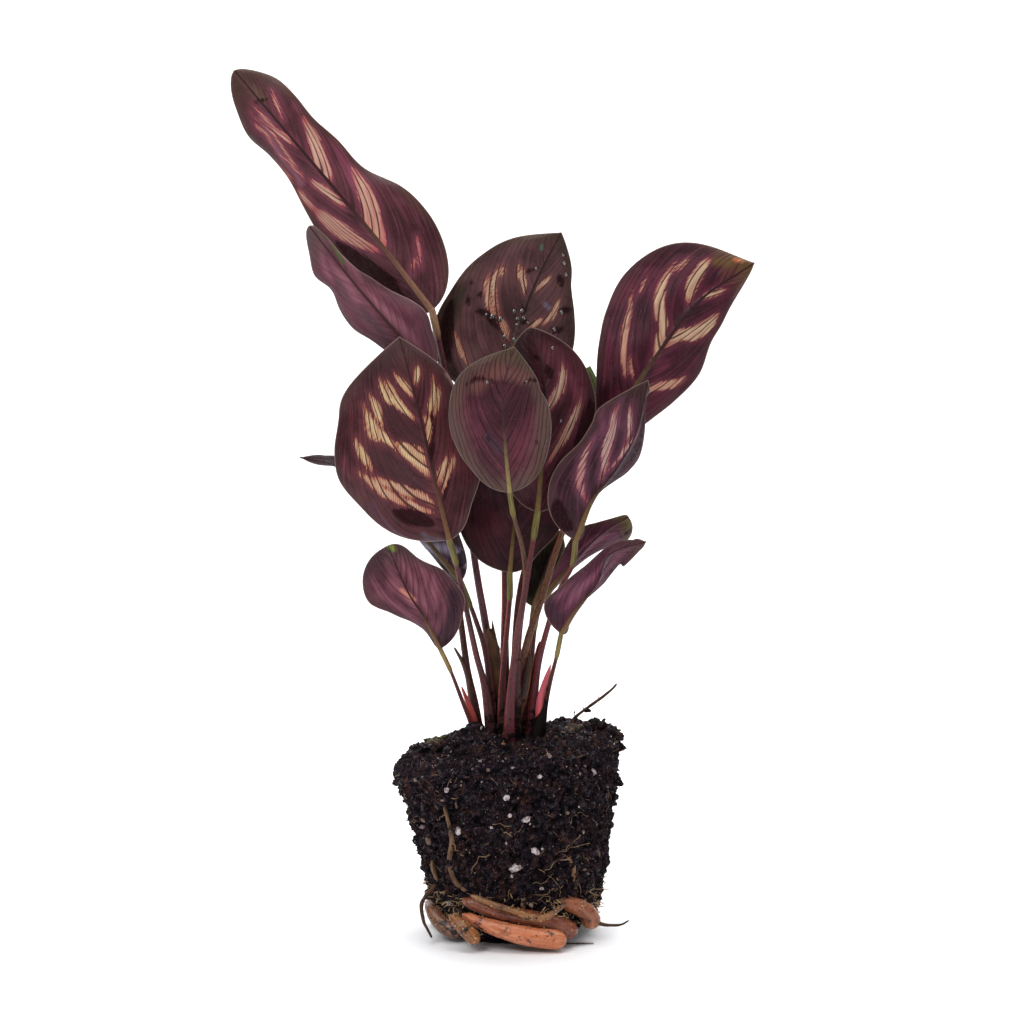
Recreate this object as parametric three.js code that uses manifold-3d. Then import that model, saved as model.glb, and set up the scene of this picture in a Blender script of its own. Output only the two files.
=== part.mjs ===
// A peacock plant lifted out of its pot: fifteen leaves on their stalks, standing in a bare ball of
// potting soil that has kept the pot's shape, with swollen storage roots coiled under it.
// Millimetres, +Z up. The plant is seen from -Y, and the origin is the middle of the soil's flat foot.
import * as THREE from "three";
import { mergeVertices } from "three/addons/utils/BufferGeometryUtils.js";
import Module from "manifold-3d";

const wasm = await Module();
wasm.setup();

// Clearance between touching pieces, and the wall of a blade.
const GAP = 0.3;
const BLADE_THICKNESS = 0.8;

// The soil ball, as a round 12 cm nursery pot shaped it. Its top slopes down to the left.
const FOOT_RADIUS = 28;
const BASE_RADIUS = 40;
const BASE_HEIGHT = 21;
const RIM_RADIUS = 52;
const RIM_HEIGHT = 85;
const CROWN_RADIUS = 24;
const CROWN_HEIGHT = 93;
const TOP_SLOPE = 0.15;
const LEAN = 4;
const SOIL_COLUMNS = 40;
const SOIL_STEP = 6.5;
const SOIL_RELIEF = 1.5;

// Lumps in the soil, with their least and largest size.
const CLODS = { count: 40, sizes: [2.2, 4.6], seed: 11 };
const GRAINS = { count: 20, sizes: [1.5, 2.6], seed: 29 };

// Humps and dips of the soil's top, as x, y, height and spread.
const MOUNDS = [
  [-20, -14, 10, 8],
  [-34, -8, 3, 8],
  [-8, -24, 3, 7],
  [4, -30, -3, 8],
  [24, -14, 2.5, 9],
  [-44, 6, 3, 7],
  [44, -8, 3, 7],
];

// A leaf stalk: thick sheath in the soil, slim above, with a swollen joint below the blade.
const STALK_FOOT_Z = 84;
const SHEATH_RADIUS = 2.2;
const STALK_RADIUS = 1.45;
const NECK_RADIUS = 1.0;
const JOINT_RADIUS = 1.4;
const JOINT_LENGTH = 14;
const STALK_SIDES = 7;
const STALK_RINGS = 13;

// The midrib stands out of the blade's underside, thick at the stalk and fine at the tip.
const RIB_HEIGHT = 1.3;
const RIB_HALF_WIDTH = 1.15;
const TIP_HALF_WIDTH = 0.45;
const TIP_POWER = 0.95;
const BLADE_ROWS = 12;

// Every leaf of the plant. rib and stalk are points on the real thing, from the soil up and out to the
// tip. left and right are half widths at even stations along the rib, as the underside is seen.
// fold is the turn of each half at the rib, and curl its further turn out to the edge, both in degrees
// away from the viewer, from the blade's foot to its tip. ruffle is the edge's wave: height, number of
// waves, and where the left and right ones start. face is the yaw and pitch of the underside, girth the
// stalk's thickness beside the others', and tip how suddenly the blade narrows there.
const LEAVES = [
  {
    name: "tall_left",
    rib: [[-37, 0, 291], [-63.5, 5, 325], [-100, 10, 368], [-129, 16, 402]],
    stalk: [
      [-7, 5.5, STALK_FOOT_Z], [-8.5, 5, 119], [-13, 4.2, 148],
      [-17, 3, 172], [-26, 2, 235], [-34, 0.5, 277],
    ],
    left: [13, 19, 22, 23, 17.5, 14, 15.5, 17, 11],
    right: [20, 25, 26, 24.5, 18, 17, 13.5, 13.5, 12],
    face: [0, 0],
    fold: { left: [5, 10, 10, 5], right: [5, 0] },
    curl: { left: [25, 20], right: [20, 20] },
    ruffle: [3, 2.2, 0.1, 0.55],
    girth: 1.25,
    tip: 0.6,
    rows: 17,
  },
  {
    name: "curled_left",
    rib: [[-37, -14, 263], [-52.5, -17, 281], [-73, -19, 305], [-92.5, -19, 330]],
    stalk: [
      [-14.5, 0.5, STALK_FOOT_Z], [-18, 0, 108], [-21.5, 0, 128],
      [-26, -0.5, 165], [-31, -5.5, 215], [-35.5, -12, 254],
    ],
    left: [5.5, 8.5, 10, 11, 14, 14, 11, 12, 7.5],
    right: [8, 11.5, 15.5, 16, 14, 10.5, 5, 4, 5],
    face: [0, 0],
    fold: { left: [0, 5], right: [5, 10, 25, 20] },
    curl: { left: [20, 20], right: [20, 30] },
    ruffle: [1.8, 2.4, 0.2, 0.5],
    girth: 1.1,
    tip: 0.5,
    rows: 15,
  },
  {
    name: "broad_left",
    rib: [[-28.7, -27, 187], [-35, -30, 214], [-42, -32, 245], [-51, -33, 280]],
    stalk: [
      [-8.5, -9.5, STALK_FOOT_Z], [-12, -10.5, 114], [-16.5, -12, 132],
      [-20.5, -14.5, 151], [-25.5, -23, 175],
    ],
    left: [31, 38.5, 44, 43.5, 39, 29],
    right: [13.5, 22, 24.5, 23, 19.5, 14],
    face: [0, 0],
    fold: { left: [0, 0], right: [8, 5] },
    curl: { left: [28, 25], right: [30, 25] },
    ruffle: [1.6, 1.5, 0.55, 0.1],
    girth: 1.05,
  },
  {
    name: "back_centre",
    rib: [[-7, 7, 247], [2, 10, 280], [12, 12, 306], [23, 13, 327]],
    stalk: [[-4, 11, STALK_FOOT_Z], [-3.5, 9, 130], [-3.5, 7, 172], [-5, 6, 210], [-7, 6, 235]],
    left: [29, 36, 36, 32, 25, 15],
    right: [24, 29, 28, 24, 18, 12],
    face: [8, 0],
    fold: { left: [0, 0], right: [0, 5] },
    curl: { left: [22, 22], right: [22, 22] },
    ruffle: [1.2, 1.3, 0.3, 0.8],
    girth: 1.1,
  },
  {
    name: "small_front",
    rib: [[-1, -42, 210], [-3, -46, 232], [-4, -48, 256], [1, -49, 276]],
    stalk: [[2, -11.5, STALK_FOOT_Z], [2.5, -17, 134], [6, -22, 165], [5, -28, 182], [0.5, -38, 200]],
    left: [15.5, 22, 25.5, 25.5, 21.5, 12],
    right: [17, 21, 22.5, 21, 17, 12],
    face: [0, 0],
    fold: { left: [0, 0], right: [0, 0] },
    curl: { left: [30, 25], right: [30, 25] },
    ruffle: [0.8, 1.2, 0.1, 0.4],
    girth: 0.9,
  },
  {
    name: "mid_right",
    rib: [[11.7, -27, 200], [14, -29, 228], [15, -28, 256], [8, -24, 284]],
    stalk: [[-1.5, -18, STALK_FOOT_Z], [-0.8, -22, 112], [2.1, -26, 141], [6, -28.5, 164], [9.8, -28, 188]],
    left: [17, 21.5, 24, 25, 23, 17],
    right: [14.5, 19.5, 22.5, 24, 21, 15],
    face: [-4, 0],
    fold: { left: [0, 0], right: [5, 5] },
    curl: { left: [28, 25], right: [28, 25] },
    ruffle: [1.2, 1.4, 0.6, 0.2],
    girth: 1.1,
    tip: 0.7,
  },
  {
    name: "narrow_right",
    rib: [[29, -31, 187], [36, -37, 205], [47, -42, 220], [56, -45, 237], [61, -47, 261]],
    stalk: [
      [7, -9.5, STALK_FOOT_Z], [9.8, -10, 109], [12.5, -12, 129],
      [17, -13, 147], [22, -16, 163], [27.5, -26, 175],
    ],
    left: [18, 22.5, 22, 21, 20.5, 17.5],
    right: [5, 13, 18, 17, 12, 7],
    face: [-4, 0],
    fold: { left: [0, 5], right: [80, 78, 70, 66, 66] },
    curl: { left: [14, 16], right: [5, 15] },
    ruffle: [1.2, 1.6, 0.1, 0.3],
    girth: 1,
  },
  {
    name: "large_right",
    rib: [[43, -6, 235], [63, -6, 265], [86, -3, 295], [112, 0, 313]],
    stalk: [
      [1.8, -5.5, STALK_FOOT_Z], [2.8, -9, 115], [7, -12.5, 138],
      [13.2, -14.5, 157], [21.8, -14, 185], [36.5, -8, 225],
    ],
    left: [16.5, 25, 33, 37, 31, 18],
    right: [14.5, 20.5, 22, 16.5, 14.5, 9],
    face: [-8, 0],
    fold: { left: [0, 0], right: [5, 5] },
    curl: { left: [30, 22], right: [25, 20] },
    ruffle: [2, 1.9, 0.7, 0.15],
    girth: 1.2,
    rows: 14,
  },
  {
    name: "low_right",
    rib: [[22.5, -28.5, 144], [29, -31.5, 155], [39, -33, 168], [44.5, -34.5, 181], [61, -35, 187]],
    stalk: [[12.5, -12, STALK_FOOT_Z], [15, -14.5, 106], [17.5, -18.5, 120], [20.5, -24, 133]],
    left: [14.5, 14, 14.5, 14, 9.5, 7.5],
    right: [5, 6, 11, 14, 13, 10],
    face: [0, 0],
    fold: { left: [0, 20, 50, 62, 50], right: [75, 80, 68, 45, 25] },
    curl: { left: [15, 10], right: [5, 10] },
    ruffle: [0.8, 1.6, 0.5, 0.1],
    girth: 0.85,
  },
  {
    name: "low_right_back",
    rib: [[13, -2, 155], [23, -5, 168], [34, -8, 181], [44, -9, 190], [54, -9, 196]],
    stalk: [[8, 0.5, STALK_FOOT_Z], [9, 0, 110], [9.5, -0.5, 130], [11, -1, 145]],
    left: [4, 9, 11.5, 10.5, 6, 3.5],
    right: [5, 5.5, 7, 11.5, 14, 15],
    face: [0, 0],
    fold: { left: [50, 50, 40, 30, 40], right: [60, 65, 55, 45, 35] },
    curl: { left: [8, 10], right: [8, 10] },
    ruffle: [0.8, 1.5, 0.2, 0.6],
    girth: 0.85,
    tip: 0.4,
  },
  {
    name: "low_left",
    rib: [[-33, -21, 136], [-40, -26, 151], [-48, -28, 164], [-57, -22, 184]],
    stalk: [[-15.5, -8, STALK_FOOT_Z], [-18.5, -9.5, 98], [-22.8, -12.5, 110], [-28.2, -17, 125]],
    left: [3, 6, 9, 13, 20, 19],
    right: [14, 20.5, 21, 20, 18, 10.5],
    face: [2, -5],
    fold: { left: [20, 0], right: [0, 0] },
    curl: { left: [20, 25], right: [18, 20] },
    ruffle: [1.2, 1.5, 0.5, 0.2],
    girth: 0.8,
    tip: 0.4,
  },
  {
    name: "hidden_left",
    rib: [[-23.7, -9, 166], [-39, -12, 185], [-59, -14, 206], [-77, -15, 219], [-97.5, -15, 224]],
    stalk: [
      [-8.7, -3.8, STALK_FOOT_Z], [-10.2, -4.4, 115], [-12.7, -5, 134],
      [-17, -6, 148], [-20.8, -7.5, 158.5],
    ],
    left: [7, 9, 9, 7, 5, 3.5],
    right: [12, 17, 18, 14, 8, 4.5],
    face: [0, 0],
    fold: { left: [50, 60, 70, 72, 65], right: [5, 10, 40, 45, 45] },
    curl: { left: [8, 10], right: [20, 20] },
    ruffle: [0.8, 1.4, 0.3, 0.1],
    girth: 0.95,
  },
  {
    name: "broad_back",
    rib: [[-1, -8, 170], [1, -9, 192], [3, -9, 214], [4, -7, 237]],
    stalk: [[-4.5, -6, STALK_FOOT_Z], [-4.5, -7, 117], [-2.8, -8, 138], [-1, -8, 158]],
    left: [21, 26.5, 28, 27, 24, 16],
    right: [12.5, 20, 23, 23, 19.5, 12],
    face: [0, 0],
    fold: { left: [0, 0], right: [0, 0] },
    curl: { left: [22, 20], right: [22, 20] },
    ruffle: [0.8, 1.2, 0.4, 0.9],
    girth: 1,
  },
  {
    name: "dark_back",
    rib: [[10, 10, 152], [14, 12, 164], [18, 13, 176], [23, 13, 188]],
    stalk: [[6, 7, STALK_FOOT_Z], [7, 7.5, 115], [8.5, 9, 138]],
    left: [9, 11, 11.5, 10, 7, 4.5],
    right: [5, 6.5, 7.5, 7.5, 6, 4.5],
    face: [-10, 0],
    fold: { left: [0, 0], right: [0, 0] },
    curl: { left: [25, 20], right: [25, 20] },
    ruffle: [0.6, 1.2, 0.4, 0.9],
    girth: 0.8,
  },
  {
    name: "rear_green",
    rib: [[21, 16, 216], [26, 20, 231], [31, 25, 247], [37, 29, 264]],
    stalk: [[1, 6.5, STALK_FOOT_Z], [2.5, 9, 150], [9, 13, 180], [18, 15.5, 206]],
    left: [11, 14, 15, 14, 12, 8],
    right: [9, 12, 13, 13, 12, 8],
    face: [190, 10],
    fold: { left: [0, 0], right: [0, 0] },
    curl: { left: [25, 20], right: [25, 20] },
    ruffle: [0.8, 1.3, 0.4, 0.9],
    girth: 0.9,
  },
];

// Sheath edges that grow from the foot of a stalk, as a path and a radius at each point.
const WINGS = {
  low_right: { path: [[13, -13.5, 93], [13, -13.5, 108], [17, -14, 127]], radii: [1.7, 1.7, 0.5] },
  low_left: { path: [[-16, -7, 92], [-18.7, -7.5, 104], [-23.5, -8.5, 117]], radii: [2, 1.6, 0.5] },
  curled_left: { path: [[-19.3, -0.5, 116], [-22.5, -1, 126], [-27, -2.5, 134.5]], radii: [1.6, 1.1, 0.5] },
};
const DRY_SHEATH = {
  path: [[-6.3, 0.6, STALK_FOOT_Z], [-7.2, 0.2, 108], [-8.2, -0.2, 128], [-10.8, -0.6, 143]],
  radii: [1.5, 1.9, 2.2, 0.9],
};

// Swollen storage roots, each as a path and a radius at each point. They lie on the surface under the soil.
const TUBERS = [
  {
    name: "front_long",
    path: [[-23, -39, 16], [-10, -44, 11.5], [7, -46.5, 7.5], [25, -45, 5]],
    radii: [1.8, 3.4, 4.4, 4.9],
  },
  {
    name: "front_middle",
    path: [[-23, -36, 22], [-6, -39, 17], [12, -38.5, 12.5], [30, -34.5, 6.5]],
    radii: [2.6, 4, 4.5, 4.8],
  },
  {
    name: "front_right",
    path: [[21, -33, 21], [31, -29, 17], [36, -26.5, 12], [36.5, -25, 6.5]],
    radii: [3, 4, 4.4, 4.4],
  },
  {
    name: "front_cross",
    path: [[-20, -42, 27], [-6, -44, 24], [9, -43.5, 21], [23, -38, 25]],
    radii: [1.5, 2.3, 2.4, 1.6],
  },
  {
    name: "front_left",
    path: [[-28.5, -40, 16], [-22, -44.8, 11], [-15.2, -46, 4.2]],
    radii: [2.2, 3.3, 3.4],
  },
  {
    name: "left",
    path: [[-39, -17, 15.5], [-33, -22, 8.5], [-24, -28, 4]],
    radii: [2.8, 3.9, 3.6],
  },
  {
    name: "left_back",
    path: [[-35, -3, 16], [-36, 12, 9], [-29, 25, 5.2]],
    radii: [3, 5.2, 4.8],
  },
  {
    name: "back",
    path: [[-24, 33, 16], [-7, 38, 10], [11, 37, 5.6]],
    radii: [3, 5.4, 5.2],
  },
  {
    name: "right_back",
    path: [[24, 32, 14], [33, 20, 8.5], [38, 6, 5]],
    radii: [3, 5, 4.6],
  },
];
const TUBER_RINGS = 8;
const TUBER_SIDES = 8;

// Thin roots that show on the ball or stick out of it, and the twig on top. A root with a side lies on
// the ball's front at those x and z.
const ROOTS = [
  {
    name: "front_left_long",
    side: [[-31, 66], [-27.5, 52], [-28.5, 41], [-26.5, 31], [-21, 26]],
    radii: [0.8, 1.2, 1.3, 1.3, 0.9],
  },
  {
    name: "left_short",
    side: [[-37, 38], [-36, 33], [-34.5, 28]],
    radii: [0.9, 1.3, 0.8],
  },
  {
    name: "front_right_arc",
    side: [[23, 44], [28, 38], [28, 30]],
    radii: [0.7, 1.1, 0.8],
  },
  {
    name: "right_stray",
    path: [[41.5, -27, 9], [45, -28, 8.5], [50.5, -28.5, 9], [54, -29, 11]],
    radii: [0.9, 0.8, 0.6, 0.4],
  },
  {
    name: "left_loop",
    path: [[-34.5, -17.5, 26], [-41.5, -21, 18], [-41, -23.5, 10], [-37, -30, 3]],
    radii: [1, 0.9, 0.8, 0.5],
  },
  {
    name: "twig",
    path: [[27, -5, 92], [30, -6, 100], [37.5, -6, 108], [49, -7, 118]],
    radii: [1.1, 1, 0.8, 0.5],
  },
];
const ROOT_RINGS = 8;
const ROOT_SIDES = 6;

const COLOURS = {
  blade: { color: 0x55303c, roughness: 0.5 },
  stalk: { color: 0x6a3234, roughness: 0.45 },
  dry: { color: 0x5a4024, roughness: 0.9 },
  soil: { color: 0x1c1512, roughness: 1 },
  tuber: { color: 0xb0683f, roughness: 0.5 },
  root: { color: 0x6b4c2c, roughness: 0.8 },
};

const lerp = THREE.MathUtils.lerp;
const radians = THREE.MathUtils.degToRad;
const clamp = THREE.MathUtils.clamp;
const vector = ([x, y, z]) => new THREE.Vector3(x, y, z);

// Repeatable random numbers from 0 to 1.
function randomFrom(seed) {
  return () => {
    seed = (seed + 0x6d2b79f5) | 0;
    let t = Math.imul(seed ^ (seed >>> 15), 1 | seed);
    t = (t + Math.imul(t ^ (t >>> 7), 61 | t)) ^ t;
    return ((t ^ (t >>> 14)) >>> 0) / 4294967296;
  };
}

// A smooth bumpy field from -1 to 1, for the soil's relief.
function bumps(x, y, z) {
  const bent = (at, across, bend) => Math.sin(at + bend * Math.sin(across));
  const coarse = bent(x * 0.31, z * 0.23, 1.3) * bent(y * 0.29, x * 0.19, 1.7);
  const fine = bent(x * 0.83, y * 0.57, 2) * bent(z * 0.91, x * 0.61 + y * 0.73, 1.5);
  return 0.5 * coarse + 0.5 * fine;
}

// A smooth curve through points, as its place and direction at a share u of its points.
function curveThrough(points) {
  const curve = new THREE.CatmullRomCurve3(points.map(vector), false, "catmullrom", 0.5);
  const step = 1e-3;
  const at = (u) => curve.getPoint(clamp(u, 0, 1));
  return {
    at,
    along: (u) => at(u + step).sub(at(u - step)).normalize(),
    length: curve.getLength(),
  };
}

// A smooth run of numbers at even steps from 0 to 1.
function smoothRun(values) {
  const points = values.map((value) => new THREE.Vector3(value, 0, 0));
  const curve = new THREE.CatmullRomCurve3(points, false, "catmullrom", 0.5);
  return (u) => curve.getPoint(clamp(u, 0, 1)).x;
}

// Even steps from 0 to 1, and steps that crowd together at both ends.
const evenSteps = (count) => Array.from({ length: count }, (_, k) => k / (count - 1));
const endSteps = (count) => evenSteps(count).map((u) => (1 - Math.cos(Math.PI * u)) / 2);

// A closed geometry from points and triangles, turned so that its faces point out.
function closedGeometry(points, triangles) {
  let volume = 0;
  const cross = new THREE.Vector3();
  for (const [a, b, c] of triangles) volume += points[a].dot(cross.crossVectors(points[b], points[c]));
  const faces = volume < 0 ? triangles.map(([a, b, c]) => [a, c, b]) : triangles;
  const position = new THREE.Float32BufferAttribute(points.flatMap((p) => p.toArray()), 3);
  return new THREE.BufferGeometry().setAttribute("position", position).setIndex(faces.flat());
}

// Triangles of a band between two rings of points, given the index of each ring's first point.
function band(first, second, count, triangles) {
  for (let i = 0; i < count; i++) {
    const next = (i + 1) % count;
    triangles.push([first + i, first + next, second + next], [first + i, second + next, second + i]);
  }
}

// Triangles from a ring of points to its middle, turned over for a ring that starts a shape.
function cap(ring, count, middle, first, triangles) {
  for (let i = 0; i < count; i++) {
    const next = ring + ((i + 1) % count);
    triangles.push(first ? [middle, next, ring + i] : [middle, ring + i, next]);
  }
}

// A round rod along a curve with a ring at each step, grown all over by grow. It lies on the surface.
function rod(curve, radiusAt, steps, sides, grow) {
  const points = [];
  const triangles = [];
  const across = new THREE.Vector3(1, 0, 0);
  const last = steps.length - 1;
  const ends = [curve.at(0), curve.at(1)];
  ends[0].addScaledVector(curve.along(0), -grow);
  ends[1].addScaledVector(curve.along(1), grow);
  steps.forEach((u, k) => {
    const centre = k === 0 ? ends[0] : k === last ? ends[1] : curve.at(u);
    const along = curve.along(u);
    across.addScaledVector(along, -across.dot(along)).normalize();
    const up = new THREE.Vector3().crossVectors(along, across);
    for (let i = 0; i < sides; i++) {
      const angle = (2 * Math.PI * i) / sides;
      const reach = radiusAt(u) + grow;
      const point = centre.clone().addScaledVector(across, Math.cos(angle) * reach);
      points.push(point.addScaledVector(up, Math.sin(angle) * reach));
    }
    if (k > 0) band((k - 1) * sides, k * sides, sides, triangles);
  });
  points.push(...ends);
  cap(0, sides, points.length - 2, true, triangles);
  cap(last * sides, sides, points.length - 1, false, triangles);
  for (const point of points) point.z = Math.max(point.z, -grow);
  return closedGeometry(points, triangles);
}

// A root, bract or sheath edge: a rod through its path, its two ends rounded.
function rootGeometry({ path, radii }, rings, sides, grow = 0) {
  const rounding = 0.12;
  const radius = smoothRun(radii);
  const round = (share) => Math.sqrt(1 - (1 - clamp(share / rounding, 0, 1)) ** 2);
  const reach = (u) => radius(u) * lerp(0.5, 1, round(u)) * lerp(0.35, 1, round(1 - u));
  return rod(curveThrough(path), reach, endSteps(rings), sides, grow);
}

// The stalk's radius at a share u of a stalk whose joint takes the last share called joint.
function stalkRadius(u, joint) {
  if (u < 0.3) return lerp(SHEATH_RADIUS, STALK_RADIUS, u / 0.3);
  if (u < 1 - joint) return lerp(STALK_RADIUS, NECK_RADIUS, (u - 0.3) / (0.7 - joint));
  const within = (u - 1 + joint) / joint;
  return lerp(NECK_RADIUS, JOINT_RADIUS, Math.sin(Math.PI * Math.min(within, 0.8)));
}

// A stalk ends square to the blade's midrib, a little short of it.
function stalkGeometry(leaf, grow = 0) {
  const rib = curveThrough(leaf.rib);
  const end = rib.at(0).addScaledVector(rib.along(0), -GAP);
  const path = curveThrough([...leaf.stalk, end.toArray()]);
  const along = (u) => (u === 1 ? rib.along(0) : path.along(u));
  const joint = JOINT_LENGTH / path.length;
  const below = evenSteps(STALK_RINGS - 4).map((u) => u * (1 - joint));
  const swollen = [0.8, 0.5, 0.2, 0].map((share) => 1 - share * joint);
  const radius = (u) => leaf.girth * stalkRadius(u, joint);
  return rod({ at: path.at, along }, radius, [...below, ...swollen], STALK_SIDES, grow);
}

// The half width of a blade at a share u of its rib: an oval drawn through the even stations.
function halfWidthOf(widths, power) {
  const oval = (u) => Math.sqrt(u) * (1 - u) ** power;
  const ratios = widths.map((width, k) => width / oval((k + 1) / (widths.length + 1)));
  const run = smoothRun([ratios[0], ...ratios, ratios.at(-1)]);
  return (u) => Math.max(run(u) * oval(u), lerp(RIB_HALF_WIDTH, TIP_HALF_WIDTH, u));
}

// A blade as a function: at share u of the rib and share t of one half, the point of the blade's middle
// layer, the way its underside faces there, and the half's width. A narrow end lies flat.
function bladeSurface(leaf) {
  const rib = curveThrough(leaf.rib);
  const [yaw, pitch] = leaf.face.map(radians);
  const level = Math.cos(pitch);
  const facing = new THREE.Vector3(Math.sin(yaw) * level, -Math.cos(yaw) * level, Math.sin(pitch));
  const [waveHeight, waves, ...starts] = leaf.ruffle;
  const halves = {};
  for (const [k, side] of ["left", "right"].entries()) {
    halves[side] = {
      sign: k === 0 ? -1 : 1,
      width: halfWidthOf(leaf[side], leaf.tip ?? TIP_POWER),
      fold: smoothRun(leaf.fold[side]),
      curl: smoothRun(leaf.curl[side]),
      start: starts[k],
    };
  }
  return (u, side, t) => {
    const half = halves[side];
    const width = half.width(u);
    const along = rib.along(u);
    const normal = facing.clone().addScaledVector(along, -facing.dot(along)).normalize();
    const outward = new THREE.Vector3().crossVectors(along, normal).multiplyScalar(half.sign);
    const fold = radians(half.fold(u)) * clamp((width - RIB_HALF_WIDTH) / 3, 0, 1);
    const curl = radians(half.curl(u));
    const turn = fold + curl * t;
    const out = (width / curl) * (Math.sin(turn) - Math.sin(fold));
    const back = (width / curl) * (Math.cos(fold) - Math.cos(turn));
    const swell = Math.sin(2 * Math.PI * (waves * u + half.start)) * Math.sqrt(4 * u * (1 - u));
    const face = normal.clone();
    if (t > 0) face.multiplyScalar(Math.cos(turn)).addScaledVector(outward, Math.sin(turn));
    const point = rib.at(u).addScaledVector(outward, out).addScaledVector(normal, -back);
    point.addScaledVector(face, waveHeight * t * t * swell);
    return { point, face, width };
  };
}

// The blade's columns from edge to edge, as a side, a share of its width, and whether it flanks the rib.
const BLADE_COLUMNS = [
  ["left", 1],
  ["left", 0.72],
  ["left", 0.4],
  ["left", 0.3, true],
  ["right", 0],
  ["right", 0.3, true],
  ["right", 0.4],
  ["right", 0.72],
  ["right", 1],
];

// A blade as one closed leaf of even thickness, with its midrib raised along the underside. Both faces
// are split into triangles alike.
function bladeGeometry(leaf) {
  const surface = bladeSurface(leaf);
  const rows = endSteps(leaf.rows ?? BLADE_ROWS);
  const count = BLADE_COLUMNS.length;
  const points = [];
  const triangles = [];
  for (const u of rows) {
    for (const [side, share, flanks] of BLADE_COLUMNS) {
      const rib = flanks ? RIB_HALF_WIDTH / surface(u, side, 0).width : share;
      const { point, face } = surface(u, side, Math.min(rib, share));
      const ridge = share === 0 ? RIB_HEIGHT * (1 - u) ** 0.8 : 0;
      points.push(point.clone().addScaledVector(face, BLADE_THICKNESS / 2 + ridge));
      points.push(point.clone().addScaledVector(face, -BLADE_THICKNESS / 2));
    }
  }
  const index = (row, column, layer) => 2 * (row * count + column) + layer;
  const quad = (a, b, c, d) => triangles.push([a, b, c], [a, c, d]);
  const last = rows.length - 1;
  for (let r = 0; r < last; r++) {
    for (let c = 0; c < count - 1; c++) {
      quad(index(r, c, 0), index(r, c + 1, 0), index(r + 1, c + 1, 0), index(r + 1, c, 0));
      quad(index(r + 1, c + 1, 1), index(r, c + 1, 1), index(r, c, 1), index(r + 1, c, 1));
    }
    quad(index(r, 0, 1), index(r, 0, 0), index(r + 1, 0, 0), index(r + 1, 0, 1));
    const edge = count - 1;
    quad(index(r, edge, 0), index(r, edge, 1), index(r + 1, edge, 1), index(r + 1, edge, 0));
  }
  for (let c = 0; c < count - 1; c++) {
    quad(index(0, c, 1), index(0, c + 1, 1), index(0, c + 1, 0), index(0, c, 0));
    quad(index(last, c, 0), index(last, c + 1, 0), index(last, c + 1, 1), index(last, c, 1));
  }
  return closedGeometry(points, triangles);
}

// A geometry as a solid for joining and cutting, and back.
function solidFrom(geometry) {
  const bare = geometry.clone();
  bare.deleteAttribute("normal");
  bare.deleteAttribute("uv");
  const merged = mergeVertices(bare, 1e-4);
  const vertProperties = merged.attributes.position.array;
  const triVerts = new Uint32Array(merged.index.array);
  return new wasm.Manifold(new wasm.Mesh({ numProp: 3, vertProperties, triVerts }));
}

function geometryFrom(solid) {
  const mesh = solid.getMesh();
  return new THREE.BufferGeometry()
    .setAttribute("position", new THREE.Float32BufferAttribute(mesh.vertProperties, 3))
    .setIndex([...mesh.triVerts]);
}

// How far the ball's middle stands off the origin at height z, and how its slope lifts a point.
const wallShare = (z) => (z - BASE_HEIGHT) / (RIM_HEIGHT - BASE_HEIGHT);
function leanAt(z) {
  if (z < BASE_HEIGHT) return (LEAN / 2) * (z / BASE_HEIGHT);
  return lerp(LEAN / 2, -LEAN / 2, wallShare(z));
}
const slopeAt = (x, z) => TOP_SLOPE * x * clamp(wallShare(z), 0, 1);

// The ball's side wall as a radius at height z, and the point of its front at x and z.
const wallRadius = (z) => lerp(BASE_RADIUS, RIM_RADIUS, wallShare(z));
function onFrontWall([x, z]) {
  const depth = 0.2;
  const radius = wallRadius(z - slopeAt(x, z)) - depth;
  return [x, -Math.sqrt(radius ** 2 - (x - leanAt(z)) ** 2), z];
}

// The rise of the soil's top at a place, from its humps and dips.
function moundAt(x, y) {
  let rise = 0;
  for (const [moundX, moundY, height, spread] of MOUNDS) {
    const away = Math.hypot(x - moundX, y - moundY) / spread;
    rise += height * Math.exp(-(away ** 2) / 2);
  }
  return rise;
}

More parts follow.
